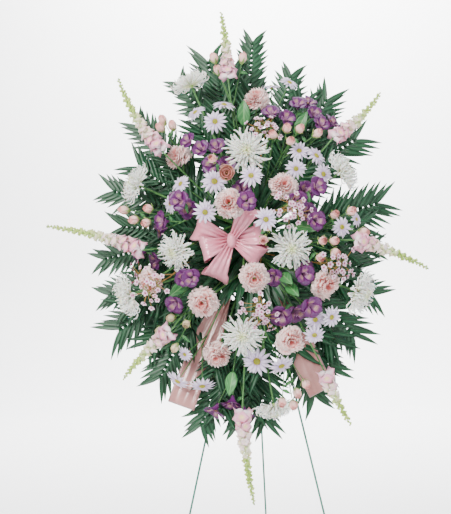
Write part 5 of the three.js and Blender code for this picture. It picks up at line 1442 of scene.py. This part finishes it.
SPRIGS = [
    ("waxflower_upper", [(32, 286, 15), (110, 78, 22)]),
    ("waxflower_left", [(-270, -112, 15)]),
    ("waxflower_right", [(218, -66, 15), (22, -185, 20)]),
]


def sprig(place):
    """Three small flowers in a spiral round the sprig's middle."""
    across, up, lift = place
    turns = [(i * 2.4 + across, 13 + 4 * i, lift + 9 * (i % 3)) for i in range(3)]
    return [(across + reach * math.cos(turn), up + reach * math.sin(turn), height, 0.2, 1)
            for turn, reach, height in turns]


for height in (-HOOP_UP, HOOP_UP):
    claim(hoop_bars(height), "foam_cage")
bow_pieces(SATIN, WIRE_GREEN)
for name, places in TAILS.items():
    tail_pieces(name, places, TAIL_SATIN_PAINTED_SHADE, WIRE_GREEN)
for name, proud, fronds_of in FRONDS:
    ride_as(frond_piece(name, proud, fronds_of, FINISHES), name)
for name, base, tip, curl in SNAPDRAGONS:
    ride_as(snapdragon_piece(name, base, tip, curl, FINISHES), name)
for name, kind, radius, clusters, *leaves in SPRAYS:
    plan = set_spray(name, kind, radius, clusters, *leaves)
    ride_as(spray_piece(name, plan, FINISHES), name)
for name, places in SPRIGS:
    plan = set_spray(name, "wax", 1.7, [sprig(place) for place in places])
    ride_as(spray_piece(name, plan, FINISHES), name)


# Camera, floor and light

def aim(thing, place, look, up=(0, 0, 1)):
    """Turns a thing so that its -Z looks along look."""
    back = -unit(np.array(look, float))
    right = unit(np.cross(np.array(up, float), back))
    top = np.cross(back, right)
    thing.matrix_world = Matrix([[right[k], top[k], back[k], place[k]] for k in range(3)] + [[0, 0, 0, 1]])


def as_row(point):
    """Millimetres from the hub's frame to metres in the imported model's."""
    return point * MM + SHIFT


SENSOR = 24
lens = bpy.data.cameras.new("camera")
lens.sensor_fit = "VERTICAL"
lens.sensor_height = SENSOR
lens.lens = SENSOR * VIEW_DISTANCE / VIEW_FIELD
lens.clip_end = 60
camera = bpy.data.objects.new("camera", lens)
bpy.context.scene.collection.objects.link(camera)
aim(camera, as_row(VIEWPOINT), SIGHT, VIEW_UP)
bpy.context.scene.camera = camera


def lamp(name, place, aim_at, energy, size, tint):
    """A round area light at place that faces aim_at."""
    light = bpy.data.lights.new(name, "AREA")
    light.shape, light.size, light.energy, light.color = "DISK", size, energy, tint
    thing = bpy.data.objects.new(name, light)
    bpy.context.scene.collection.objects.link(thing)
    aim(thing, np.array(place, float), np.array(aim_at, float) - np.array(place, float))
    return thing


MIDDLE = (0.04, -0.1, 1.15)
LAMPS = [
    lamp("key", (-1.7, -3.0, 3.1), MIDDLE, 215, 1.3, (1.0, 0.97, 0.94)),
    lamp("fill", (2.6, -2.6, 1.6), MIDDLE, 55, 2.2, (0.94, 0.97, 1.0)),
    lamp("top", (0.2, 0.3, 3.6), MIDDLE, 60, 1.8, (1.0, 1.0, 1.0)),
    lamp("backdrop", (0.0, 4.3, 4.7), (0.0, 6.5, 1.3), 1150, 3.5, (1.0, 1.0, 1.0)),
]


def floor_and_wall():
    """A pale floor that curves up into a wall behind: a profile of y and z carried across x."""
    bend = np.linspace(0, np.pi / 2, 13)
    y = np.concatenate([[-8.0], 5.3 + 1.2 * np.sin(bend), [6.5]])
    z = np.concatenate([[0.0], 1.2 - 1.2 * np.cos(bend), [6.0]])
    x = np.array([-12.0, 12.0])
    points = np.stack([np.repeat(x, len(y)), np.tile(y, 2), np.tile(z, 2)], 1)
    count = len(y)
    low = np.arange(count - 1)
    faces = np.stack([low, low + count, low + count + 1, low + 1], 1)
    mesh = bpy.data.meshes.new("floor")
    mesh.from_pydata(points.tolist(), [], faces.tolist())
    mesh.polygons.foreach_set("use_smooth", np.ones(len(faces), bool))
    thing = bpy.data.objects.new("floor", mesh)
    bpy.context.scene.collection.objects.link(thing)
    paint = Paint("studio_paper", Roughness=0.9)
    cloud = paint.noise(3.0)
    paint.set("Base Color", paint.blend(cloud, colour("#f7f7f8"), colour("#fbfbfb")))
    mesh.materials.append(paint.material)
    return thing


floor = floor_and_wall()
world = bpy.data.worlds.new("studio")
world.use_nodes = True
world.node_tree.nodes["Background"].inputs["Color"].default_value = (0.92, 0.94, 0.97, 1.0)
world.node_tree.nodes["Background"].inputs["Strength"].default_value = 0.85
bpy.context.scene.world = world
